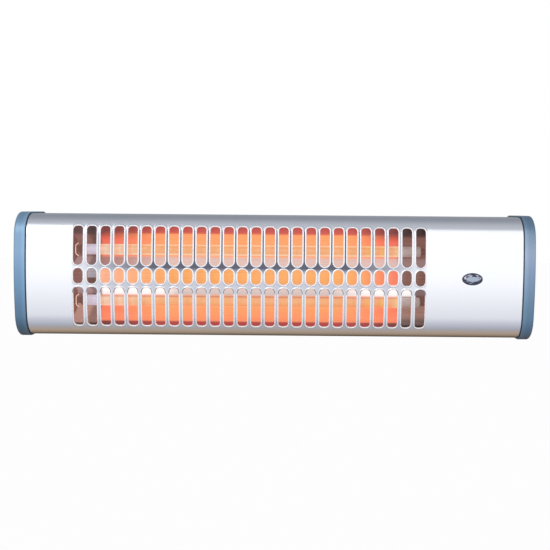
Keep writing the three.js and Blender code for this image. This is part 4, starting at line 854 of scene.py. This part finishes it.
# painted highlight: the cap's mouth is paler up to this distance in metres from the middle
PALE_UP_TO, PLAIN_FROM = 0.2427, 0.2431
clouds = blue.ramp(blue.noise(14.0, 2.0), [(0.3, (0.93, 0.94, 0.95)), (0.7, (1.0, 1.0, 1.0))])
far = blue.maths("ABSOLUTE", x_place, 0.0)
edge = blue.ramp(far, [(PALE_UP_TO, (1.3, 1.27, 1.22)), (PLAIN_FROM, (1, 1, 1))])
shaded = blue.multiply(blue.multiply(blue.bands(z_place, CAP_SHADE, -60, 60), clouds), edge)
on_right = blue.maths("GREATER_THAN", x_place, 0.0)
reflection_tint = blue.blend(on_right, (1.0, 1.0, 1.0), blue.bands(z_place, GREYER_REFLECTION, -60, 60))
blue.link(blue.multiply(shaded, reflection_tint), "Base Color")
pebbles = blue.noise(1400.0, 1.0)
blue.vary_roughness(pebbles, 0.32, 0.44)
blue.bump(pebbles, 0.00002, 0.2)
for side, sign in SIDES:
    finish_piece(f"cap_{side}", end_cap(sign), "casing", blue.material, replaces=[f"end_cap_{side}"],
                 slot="blue_plastic", crisp=40.0)

# %% [markdown]
# Where a cap meets the sheet the photograph shows a dark line, the shadow in the joint. A thin dark ring
# shaped like the lip of a soft seal paints that shadow: it follows the outline just above the sheet.

# %% The shadow lips
SHADOW_LIP_WIDTH, SHADOW_LIP_LOW, SHADOW_LIP_HIGH = 0.95, 1.55, 1.0
SHADOW_LIP_SECTION = [(CAP_START, SHADOW_LIP_LOW), (CAP_START - SHADOW_LIP_WIDTH, SHADOW_LIP_LOW),
                (CAP_START - SHADOW_LIP_WIDTH, SHADOW_LIP_LOW - 0.2), (CAP_START - 0.6 * SHADOW_LIP_WIDTH, SHADOW_LIP_HIGH),
                (CAP_START, SHADOW_LIP_HIGH), (CAP_START, SHADOW_LIP_LOW)]
# painted shadow: a dark ring in the joint between cap and sheet
shadow_lip_dark = Finish("seal_lip", linear(34, 44, 56), 0.6)
shadow_lip_dark.vary_roughness(shadow_lip_dark.noise(600.0, 2.0), 0.5, 0.75)
for side, sign in SIDES:
    shadow_lip = Patchwork()
    shadow_lip.grid(np.stack([outline_at(sign * x, inset) for x, inset in SHADOW_LIP_SECTION]), closed=True)
    finish_piece(f"cap_seal_{side}", shadow_lip, "casing", shadow_lip_dark.material, slot="rubber", crisp=40.0)

# %% [markdown]
# ## Bars, coils and ceramic ends
# A bar is a frosted quartz tube round a coil of resistance wire, closed by a white ceramic end at each
# side. The coil is a true helix, and its glow fills the milky tube. A painted highlight runs along the top
# and the bottom of the glowing tube, where the wall is seen edge-on.

# %% The tones of the glow
EMBER, GARNET, DIM_EMBER = linear(196, 88, 80), linear(174, 74, 74), linear(122, 66, 64)
ORANGE, RED_ORANGE, AMBER = linear(248, 164, 112), linear(246, 134, 102), linear(240, 168, 102)
BLUSH, PEARL = linear(204, 195, 194), linear(244, 243, 244)
COLD_SHADE, UMBER = linear(92, 72, 70), linear(132, 96, 88)
MAUVE, CLAY = linear(156, 130, 128), linear(168, 132, 120)
print("the glow runs from", [round(c, 2) for c in GARNET], "to", [round(c, 2) for c in ORANGE])

# %% The bars
TUBE_Y, TUBE_Z = -82.0, {"upper": 24.5, "lower": -26.5}
TUBE_RADIUS, TUBE_BORE, TUBE_HALF, NECK_RADIUS = 5.3, 4.2, 151.0, 3.2
# near each end the coil's turns are packed in short groups, which glow paler, with open turns between
# them: first the columns of slots they show in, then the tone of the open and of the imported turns
PLAIN = (1, 1, 1)
PACKED_GROUPS = ((range(2, 6), (1.0, 0.84, 0.70), (1.0, 1.05, 1.05)),
                 (range(21, 24), (1.0, 0.90, 0.84), (1.0, 1.06, 0.72)))
# seen from the camera, the tubes' plane is wider than the cover's by this much
TUBE_PLANE = 1.038
GROUP_STEPS = ((-5.2, 0), (-0.6, 0), (0.4, 1), (5.0, 1))


def end_turns():
    """The tones along a tube as (x, colour): four steps round the middle of each slot of a group."""
    sides = []
    for columns, *two_tones in PACKED_GROUPS:
        middles = [CAMERA_SIDE + (MIDDLE_X + (k - (COLUMNS - 1) / 2) * PITCH - CAMERA_SIDE) * TUBE_PLANE
                   for k in columns]
        sides.append([(middle + step, two_tones[kind]) for middle in middles for step, kind in GROUP_STEPS])
    return [(-180, PLAIN), *sides[0], (-123, PLAIN), (84, PLAIN), *sides[1], (128, PLAIN)]


END_TURNS = end_turns()
EVEN_GLOW = (-176, 62, 132, 24)
# the glow in the middle and at the ends: its tone, its painted edge highlight and its painted top shadow
GLOWS = ((linear(250, 174, 108), linear(252, 208, 170), linear(214, 126, 88)),
         (linear(250, 206, 178), linear(250, 222, 200), linear(220, 150, 120)))
LOW_EDGE = linear(240, 156, 108)


def quartz_finish(row, z):
    """Milky quartz that the coil lights: cream at its left end, amber beyond, and a painted highlight along its
    edges. The lower bar has a painted shadow along its top instead."""
    finish = Finish(f"quartz_{row}", linear(120, 104, 98), 0.22, coat=0.3)
    x_place, _, z_place = finish.split(finish.place)
    glow = []
    for place_of_glow, (tone, edge, top_shadow) in enumerate(GLOWS):
        upper = row == "upper"
        under = LOW_EDGE if not upper and place_of_glow == 0 else edge
        # painted highlight along the upper bar's top, painted shadow along the lower bar's top
        top, top_start = (edge, 4.4) if upper else (top_shadow, 4.2)
        tones = [(z - 5.2, under), (z - 3.9, under), (z - 3.0, tone), (z + 3.6, tone), (z + top_start, top),
                 (z + 5.2, top)]
        glow.append(finish.bands(z_place, tones, z - TUBE_RADIUS, z + TUBE_RADIUS))
    glow = finish.blend(finish.window(x_place, *EVEN_GLOW), glow[1], glow[0])
    turns = finish.noise(1.0, 1.0, finish.stretched((420, 40, 40)))
    glow = finish.multiply(glow, finish.ramp(turns, [(0.35, (0.96, 0.92, 0.88)), (0.65, PLAIN)]))
    glow = finish.multiply(glow, finish.bands(x_place, END_TURNS, END_TURNS[0][0], END_TURNS[-1][0]))
    finish.link(glow, "Emission Color")
    finish.glow(0.8)
    return finish.material


COIL_HALF, TAIL_END, TAIL_RADIUS = 141.0, 185.0, 0.6
TAIL = [(COIL_HALF, 0.0), (COIL_HALF, TAIL_RADIUS), (TAIL_END, TAIL_RADIUS), (TAIL_END, 0.0)]


def coil_points(turns=140, radius=2.25, wire=0.35, steps=12, sides=6):
    """A wire of round section on a helix: x grows with the angle while y and z go round."""
    angle = np.linspace(0, 2 * np.pi * turns, turns * steps + 1)
    along = np.linspace(-COIL_HALF, COIL_HALF, len(angle))
    centre = np.stack([along, radius * np.cos(angle), radius * np.sin(angle)], -1)
    out = np.stack([np.zeros_like(angle), np.cos(angle), np.sin(angle)], -1)
    return round_wire(centre, out, wire, sides)


glowing = Finish("glowing_wire", linear(255, 140, 60), 0.5)
hot_and_hotter = [(0.3, linear(255, 110, 30)), (0.7, linear(255, 176, 84))]
glowing.link(glowing.ramp(glowing.noise(300.0, 1.0), hot_and_hotter), "Emission Color")
glowing.glow(2.2)


def steatite_finish(side, white, outer_end, glow_strength):
    """White ceramic with a painted glow for the bar's light inside it, and painted shade in brown on its outer end."""
    finish = Finish(f"steatite_{side}", white, 0.5)
    x_place, _, _ = finish.split(finish.place)
    # painted shade: the outer end is umber, and the body has a painted glow
    lit_body = finish.window(x_place, MIDDLE_X - outer_end, 1.5, MIDDLE_X + outer_end, 1.5)
    unshaded_white = finish.ramp(finish.noise(120.0, 3.0), [(0.3, tuple(0.88 * c for c in white)), (0.7, white)])
    tone = finish.blend(lit_body, UMBER, unshaded_white)
    finish.link(tone, "Base Color")
    finish.link(tone, "Emission Color")
    finish.glow(glow_strength)
    finish.bump(finish.noise(1600.0, 2.0), 0.00004, 0.3)
    return finish.material


# lit and shaded copies: the left ends are paler, with a stronger painted glow, than the right ones
STEATITE = {"left": steatite_finish("left", linear(220, 214, 232), 164.5, 0.45),
            "right": steatite_finish("right", linear(196, 180, 176), 170.5, 0.3)}
TUBE_WALL = [(-TUBE_HALF, TUBE_BORE), (-TUBE_HALF, TUBE_RADIUS - 0.3), (-TUBE_HALF + 0.3, TUBE_RADIUS),
             (TUBE_HALF - 0.3, TUBE_RADIUS), (TUBE_HALF, TUBE_RADIUS - 0.3), (TUBE_HALF, TUBE_BORE),
             (-TUBE_HALF, TUBE_BORE)]
# distance past the tube's end, and radius
CERAMIC_SECTION = [(-6.0, 0.9), (-6.0, 3.9), (0.3, 3.9), (0.3, 5.0), (0.6, 5.3), (17.2, 5.3), (18.2, 4.9),
                   (19.0, 3.9), (19.0, NECK_RADIUS), (27.3, NECK_RADIUS), (27.3, 4.7), (27.6, 5.0),
                   (30.0, 5.0), (30.3, 4.7), (30.3, 0.9), (-6.0, 0.9)]
for row, z in TUBE_Z.items():
    centre = (MIDDLE_X, TUBE_Y, z)
    tube = Patchwork()
    turned_piece(tube, TUBE_WALL, centre, 40)
    finish_piece(f"quartz_{row}", tube, "casing", quartz_finish(row, z), replaces=[f"quartz_tube_{row}"],
                 slot="quartz")
    coil = Patchwork()
    rings = coil_points() + np.array(centre)
    coil.grid(rings, closed=True)
    for end, way in ((0, -1), (-1, 1)):
        tip = rings[end]
        coil.grid(np.stack([tip, np.broadcast_to(tip.mean(axis=0), tip.shape)]), closed=True)
        turned_piece(coil, [(way * along, radius) for along, radius in TAIL], centre, 10)
    finish_piece(f"coil_{row}", coil, "casing", glowing.material, replaces=[f"heating_coil_{row}"],
                 slot="heating_wire")
    for side, sign in SIDES:
        ceramic = Patchwork()
        section = [(sign * (TUBE_HALF + past), radius) for past, radius in CERAMIC_SECTION]
        turned_piece(ceramic, section, centre, 36)
        finish_piece(f"ceramic_{row}_{side}", ceramic, "casing", STEATITE[side],
                     replaces=[f"ceramic_end_{row}_{side}"], slot="steatite")

# %% [markdown]
# Behind the first column of slots the photograph shows bright hooked lines. They are the spring clips
# that hold the ceramic ends, so each is a round wire bent into a shallow hook, with a painted highlight.

# %% The retaining clips
CLIP_X, CLIP_Y, CLIP_WIRE, CLIP_DEPTH = -198.2, -88.6, 0.5, 3.4
bright_wire = Finish("clip_wire", linear(236, 206, 190), 0.3, metallic=0.4)
bright_wire.vary_roughness(bright_wire.noise(400.0, 2.0), 0.25, 0.4)
# painted highlight: the wire glows a little, so the hooks read bright
bright_wire.glow(0.6, linear(236, 200, 180))


def bent_wire(z_middle, half):
    """A wire straight in the middle and hooked at both ends: t runs along it from -1 to 1."""
    t = np.linspace(-1, 1, 49)
    x = CLIP_X + CLIP_DEPTH * np.abs(t) ** 5
    centre = np.stack([x, np.full_like(t, CLIP_Y), z_middle + half * t], -1)
    # both ends close to a point
    taper = np.where((t == -1) | (t == 1), 0.0, 1.0)[:, None, None]
    return round_wire(centre, np.array([0.0, -1.0, 0.0]), CLIP_WIRE * taper, 8)


CLIPS = (("upper", TUBE_Z["upper"], 6.4), ("waist", -1.0, 4.4), ("lower", TUBE_Z["lower"], 6.4))
for name, z, half in CLIPS:
    clip = Patchwork()
    clip.grid(bent_wire(z, half), closed=True)
    finish_piece(f"clip_{name}", clip, "casing", bright_wire.material, slot="zinc_steel")

# %% [markdown]
# ## Reflector and end plates
# The reflector is bright aluminium folded into two troughs. Seen through the grille it is a stack of
# bands: dark lands at the edges, glowing slopes round each bar and pale slopes that look up at the room.
# The bands are painted light: painted shade on the lands, a painted glow of the bars on the slopes round
# them and painted reflections of the room on the pale slopes. They belong to heights on the sheet, so the
# finish reads the height and the length. Past the coils the bands are painted dark. The sheet's back has
# no glow, so none shows through the vents.

# %% The reflector's glow
REFLECTOR_EDGE = 54.0
# each band is a height and the tone there: in the middle, near the ends of the coils, and beyond them
MIDDLE_BANDS = [(-46.6, GARNET), (-45.0, linear(240, 146, 104)), (-36, ORANGE), (-22.4, ORANGE),
                (-21.6, BLUSH), (-8.8, BLUSH), (-7.6, AMBER), (5.6, AMBER), (7.2, BLUSH), (15, BLUSH),
                (18, ORANGE), (39.8, ORANGE), (41.4, EMBER), (44.0, EMBER), (48.5, GARNET)]
# beyond the coils: painted shade, darkest at the edges, and painted reflections of the room
COLD_BANDS = [(-48.6, COLD_SHADE), (-47.2, CLAY), (-33, CLAY), (-22, UMBER), (-20, MAUVE), (-9, MAUVE),
              (-7.6, UMBER), (5.6, UMBER), (7.2, MAUVE), (15, MAUVE), (18, UMBER), (38, UMBER), (41, COLD_SHADE)]


def end_bands(waist, slope):
    """The bands near one end of the coils: the waist is between the bars and the slope is above it."""
    return [(-46.6, DIM_EMBER), (-45.0, RED_ORANGE), (-22.4, RED_ORANGE), (-21.6, PEARL), (-8.8, PEARL),
            (-7.6, waist), (5.6, waist), (7.2, slope), (15, slope), (18, RED_ORANGE),
            (34, linear(226, 108, 92)), (41.4, DIM_EMBER)]


LEFT_BANDS = end_bands(linear(246, 178, 144), MAUVE)
RIGHT_BANDS = end_bands(linear(243, 132, 104), linear(208, 196, 194))
# where the coils light the sheet at all, where evenly, and the same two for the shelf over the lower bar,
# which stays pearl for longer and then changes sooner
LIT, EVEN = (-178, 3, 127, 5), (-176, 76, 124, 56)
SHELF_LIT, SHELF_EVEN = (-178, 3, 141, 3), (-118, 24, 98, 46)
SHELF = (-22, 0.4, -8.6, 0.4)
RIGHT_HALF, PALE_REFLECTION_X, PALE_REFLECTION_Z = (-30, 10, 300, 10), (-187, 3, -176, 2), (-4, 2, 8, 2)
# painted shade past the coils: the left end darkens inwards, and the right end above and below the bars
FULL, DUSK, NIGHT = (1.0, 1.0, 1.0), (0.68, 0.7, 0.72), (0.42, 0.45, 0.5)
INWARDS = [(-188, (1.25, 1.25, 1.3)), (-184, DUSK), (-171, DUSK), (-160, FULL)]
UPRIGHT = [(-44, NIGHT), (-40, (0.9, 0.9, 0.9)), (-18, DUSK), (-9, DUSK), (-7, FULL), (37, FULL),
           (42, (0.5, 0.45, 0.45))]
print("bands in the middle", len(MIDDLE_BANDS), "left", len(LEFT_BANDS), "right", len(RIGHT_BANDS))

# %% The reflector's finish
mirror = Finish("mirror_aluminium", (0.24, 0.23, 0.23), 0.28, metallic=0.5)
x_place, _, z_place = mirror.split(mirror.place)
middle, left_end, right_end, cold, upright = [
    mirror.bands(z_place, bands, -REFLECTOR_EDGE, REFLECTOR_EDGE)
    for bands in (MIDDLE_BANDS, LEFT_BANDS, RIGHT_BANDS, COLD_BANDS, UPRIGHT)]
on_shelf = mirror.window(z_place, *SHELF)
shelf_lit = mirror.maths("MULTIPLY", on_shelf, mirror.window(x_place, *SHELF_LIT))
lit = mirror.maths("MAXIMUM", mirror.window(x_place, *LIT), shelf_lit)
even = mirror.window(x_place, *EVEN)
sooner = mirror.maths("SUBTRACT", mirror.window(x_place, *SHELF_EVEN), even)
even = mirror.maths("MULTIPLY_ADD", sooner, on_shelf, even)
right_half = mirror.window(x_place, *RIGHT_HALF)
ends = mirror.blend(right_half, left_end, right_end)
# painted reflection: a pale patch near the left end of the sheet
pale_reflection = mirror.maths("MULTIPLY", mirror.window(x_place, *PALE_REFLECTION_X), mirror.window(z_place, *PALE_REFLECTION_Z))
cold = mirror.blend(pale_reflection, cold, linear(196, 186, 192))
cold = mirror.multiply(cold, mirror.blend(right_half, mirror.bands(x_place, INWARDS, -200, 0), upright))
banded = mirror.blend(lit, cold, mirror.blend(even, ends, middle))
ripples = mirror.noise(1.0, 3.0, mirror.stretched((26, 60, 700)))
banded = mirror.multiply(banded, mirror.ramp(ripples, [(0.35, (0.96, 0.94, 0.93)), (0.6, (1, 1, 1))]))
# the painted glow is only on the side that faces the bars
_, facing, _ = mirror.split(mirror.place.node.outputs["Normal"])
front = mirror.maths("LESS_THAN", facing, 0.1)
mirror.link(mirror.blend(front, (0.0, 0.0, 0.0), banded), "Emission Color")
dimmed = mirror.multiply(banded, (0.42, 0.42, 0.42))
mirror.link(mirror.blend(front, (0.42, 0.41, 0.40), dimmed), "Base Color")
mirror.glow(0.78)
mirror.vary_roughness(ripples, 0.22, 0.36)
print("nodes in the reflector's finish", len(mirror.tree.nodes))

# %% [markdown]
# ## Indicator
# A dark oval bezel holds a clear lens whose underside is faceted like a cut stone, so it shows a pale
# table between dark facets, painted on each facet as glints and shade. The facets are flat faces, left
# unsmoothed.

# %% The indicator
LAMP_X, BEZEL_Y, BEZEL_HALF_X, BEZEL_HALF_Z = 191.5, -113.7, 10.0, 6.0
phi = np.linspace(0, 2 * np.pi, 64, endpoint=False)
BEZEL_SECTION = [(1.1, -0.3), (1.1, 0.7), (0.95, 0.95), (0.7, 1.1), (0.4, 1.05), (0.12, 0.7), (0.0, 0.2),
                 (0.0, 0.0), (1.9, 0.0), (1.9, -4.0), (3.3, -4.0), (3.3, -0.3), (1.1, -0.3)]


def oval_rings(section, half_x, half_z, angles):
    """Rings of an oval: each is moved inwards by an inset and forwards by a height."""
    return np.stack([np.stack([LAMP_X + (half_x - inset) * np.cos(angles),
                               np.full_like(angles, BEZEL_Y - rise),
                               (half_z - inset) * np.sin(angles)], -1) for inset, rise in section])


bezel = Patchwork()
bezel.grid(oval_rings(BEZEL_SECTION, BEZEL_HALF_X, BEZEL_HALF_Z, phi), closed=True)
navy = Finish("indicator_bezel", linear(60, 68, 92), 0.25, coat=0.4)
navy.vary_colour(navy.noise(300.0, 2.0), 0.8, 1.15)
finish_piece("bezel", bezel, "casing", navy.material, replaces=["indicator_bezel"], slot="dark_plastic",
             crisp=60.0)

# %% The cut lens
FACETS = 12
LENS_SECTION, LENS_HALF_X, LENS_HALF_Z = [(0.0, -0.2), (0.0, 0.5), (1.15, 1.05), (2.5, 1.7)], 8.9, 4.9
SHINES, ODDS = [0.0, 0.12, 0.45, 0.95], [0.3, 0.25, 0.2, 0.25]


def cut_lens():
    """Rings of an oval, each turned by half a facet from the last, joined by triangles and closed flat."""
    rings = [oval_rings([ring], LENS_HALF_X, LENS_HALF_Z,
                        (np.arange(FACETS) + 0.5 * (k % 2)) * 2 * np.pi / FACETS)[0]
             for k, ring in enumerate(LENS_SECTION)]
    first = np.arange(FACETS)
    after = (first + 1) % FACETS
    faces = []
    for k in range(len(rings) - 1):
        low, high = k * FACETS, (k + 1) * FACETS
        up, down = (first, after) if k % 2 == 0 else (after, first)
        faces += np.stack([low + first, low + after, high + up], -1).tolist()
        faces += np.stack([high + first, low + down, high + after], -1).tolist()
    last = (len(rings) - 1) * FACETS
    return np.concatenate(rings), faces + [list(range(FACETS)), list(range(last, last + FACETS))]


lens_points, lens_faces = cut_lens()
lens_mesh = bpy.data.meshes.new("lens")
lens_mesh.from_pydata((lens_points * MM).tolist(), [], lens_faces)
shape = bmesh.new()
shape.from_mesh(lens_mesh)
bmesh.ops.recalc_face_normals(shape, faces=shape.faces)
shape.to_mesh(lens_mesh)
shape.free()
# painted glints: each facet gets a random shine, and the table a pale one
glint = np.random.default_rng(5).choice(SHINES, len(lens_mesh.polygons), p=ODDS)
centres = np.array([p.center for p in lens_mesh.polygons])
# painted shade: the facets that look down are darker
glint[centres[:, 2] < -0.0012] *= 0.6
glint[-1] = 1.0
lens_mesh.attributes.new("glint", "FLOAT", "FACE").data.foreach_set("value", glint.astype(np.float32))
crystal = Finish("lens_plastic", linear(150, 164, 186), 0.12, coat=0.5)
GLINTS = [(0.0, linear(44, 44, 66)), (0.3, linear(96, 100, 128)), (0.6, linear(150, 154, 178)),
          (0.9, linear(206, 208, 222)), (0.97, linear(206, 208, 222)), (1.0, linear(168, 182, 204))]
crystal.link(crystal.ramp(crystal.attribute("glint"), GLINTS), "Base Color")
crystal.vary_roughness(crystal.noise(500.0, 2.0), 0.08, 0.2)
lens = bpy.data.objects.new("lens", lens_mesh)
bpy.context.scene.collection.objects.link(lens)
lens_mesh.materials.append(crystal.material)
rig.ride(lens, "casing")
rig.replaces(lens, "indicator_lens")
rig.slot(lens, "lens")
print("lens facets", len(lens_mesh.polygons))

# %% [markdown]
# ## The pieces that keep their own shape
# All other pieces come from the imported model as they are. Each gets one of the finishes, so that none
# keeps a flat colour, and the wires get the colour of their insulation with a soft sheen.

# %% Dress the remaining nodes
def insulation(name, colour):
    """Soft plastic on a wire, with faint bands along it."""
    finish = Finish(name, colour, 0.5)
    finish.vary_colour(finish.noise(160.0, 2.0), 0.9, 1.08)
    finish.bump(finish.noise(700.0, 1.0), 0.00003, 0.2)
    return finish.material


plate_brown = Finish("chamber_plate", linear(140, 104, 96), 0.42, metallic=0.8)
plate_brown.vary_colour(plate_brown.noise(70.0, 4.0), 0.8, 1.1)
# painted glow: the plate glows umber, standing in for the bars' light on it
plate_brown.glow(0.5, UMBER)
plate_brown.vary_roughness(plate_brown.noise(220.0, 3.0), 0.34, 0.52)
DRESS = {
    "back_pan": pan_paint, "reflector": mirror.material, "wall_bracket": zinc, "lamp_body": white_nylon,
    "element_plate": plate_brown.material, "cap_screw": zinc, "cover_screw": zinc, "neutral_link": brass,
    "crimp": brass, "switch_body": white_nylon, "switch_lever": black_plastic, "switch_pin": zinc,
    "switch_spring": zinc, "switch_shelf": zinc, "switch_screw": zinc, "cord_bush": black_plastic,
    "terminal_block": white_nylon, "terminal_screw": brass, "earth_screw": brass, "mains_grommet": rubber,
    "wire_neutral_return": insulation("wire_blue", linear(46, 92, 168)),
    "wire_live": insulation("wire_white", linear(230, 226, 214)),
    "wire_switch_feed": insulation("wire_brown", linear(120, 62, 38)),
    "wire_earth": insulation("wire_green", linear(112, 158, 62)),
    "wire_lamp": insulation("wire_black", linear(34, 36, 42)), "pivot_lug": zinc, "friction_washer": rubber,
    "clamp_nut": zinc, "tilt_knob": black_plastic, "knob_stud": zinc}
dressed = 0
for name, node in nodes.items():
    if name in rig.table()["cad_nodes_stood_for"]:
        continue
    key = max((k for k in DRESS if name.startswith(k)), key=len)
    node.data.materials.clear()
    node.data.materials.append(DRESS[key])
    dressed += 1
print("dressed nodes", dressed)

# %% Save the sizes
low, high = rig.bounds()
json.dump({"cad": [list(cad_low), list(cad_high)], "visual": [list(low), list(high)]}, open("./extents.json", "w"))
print("visual box", [round(v, 4) for v in (*low, *high)])
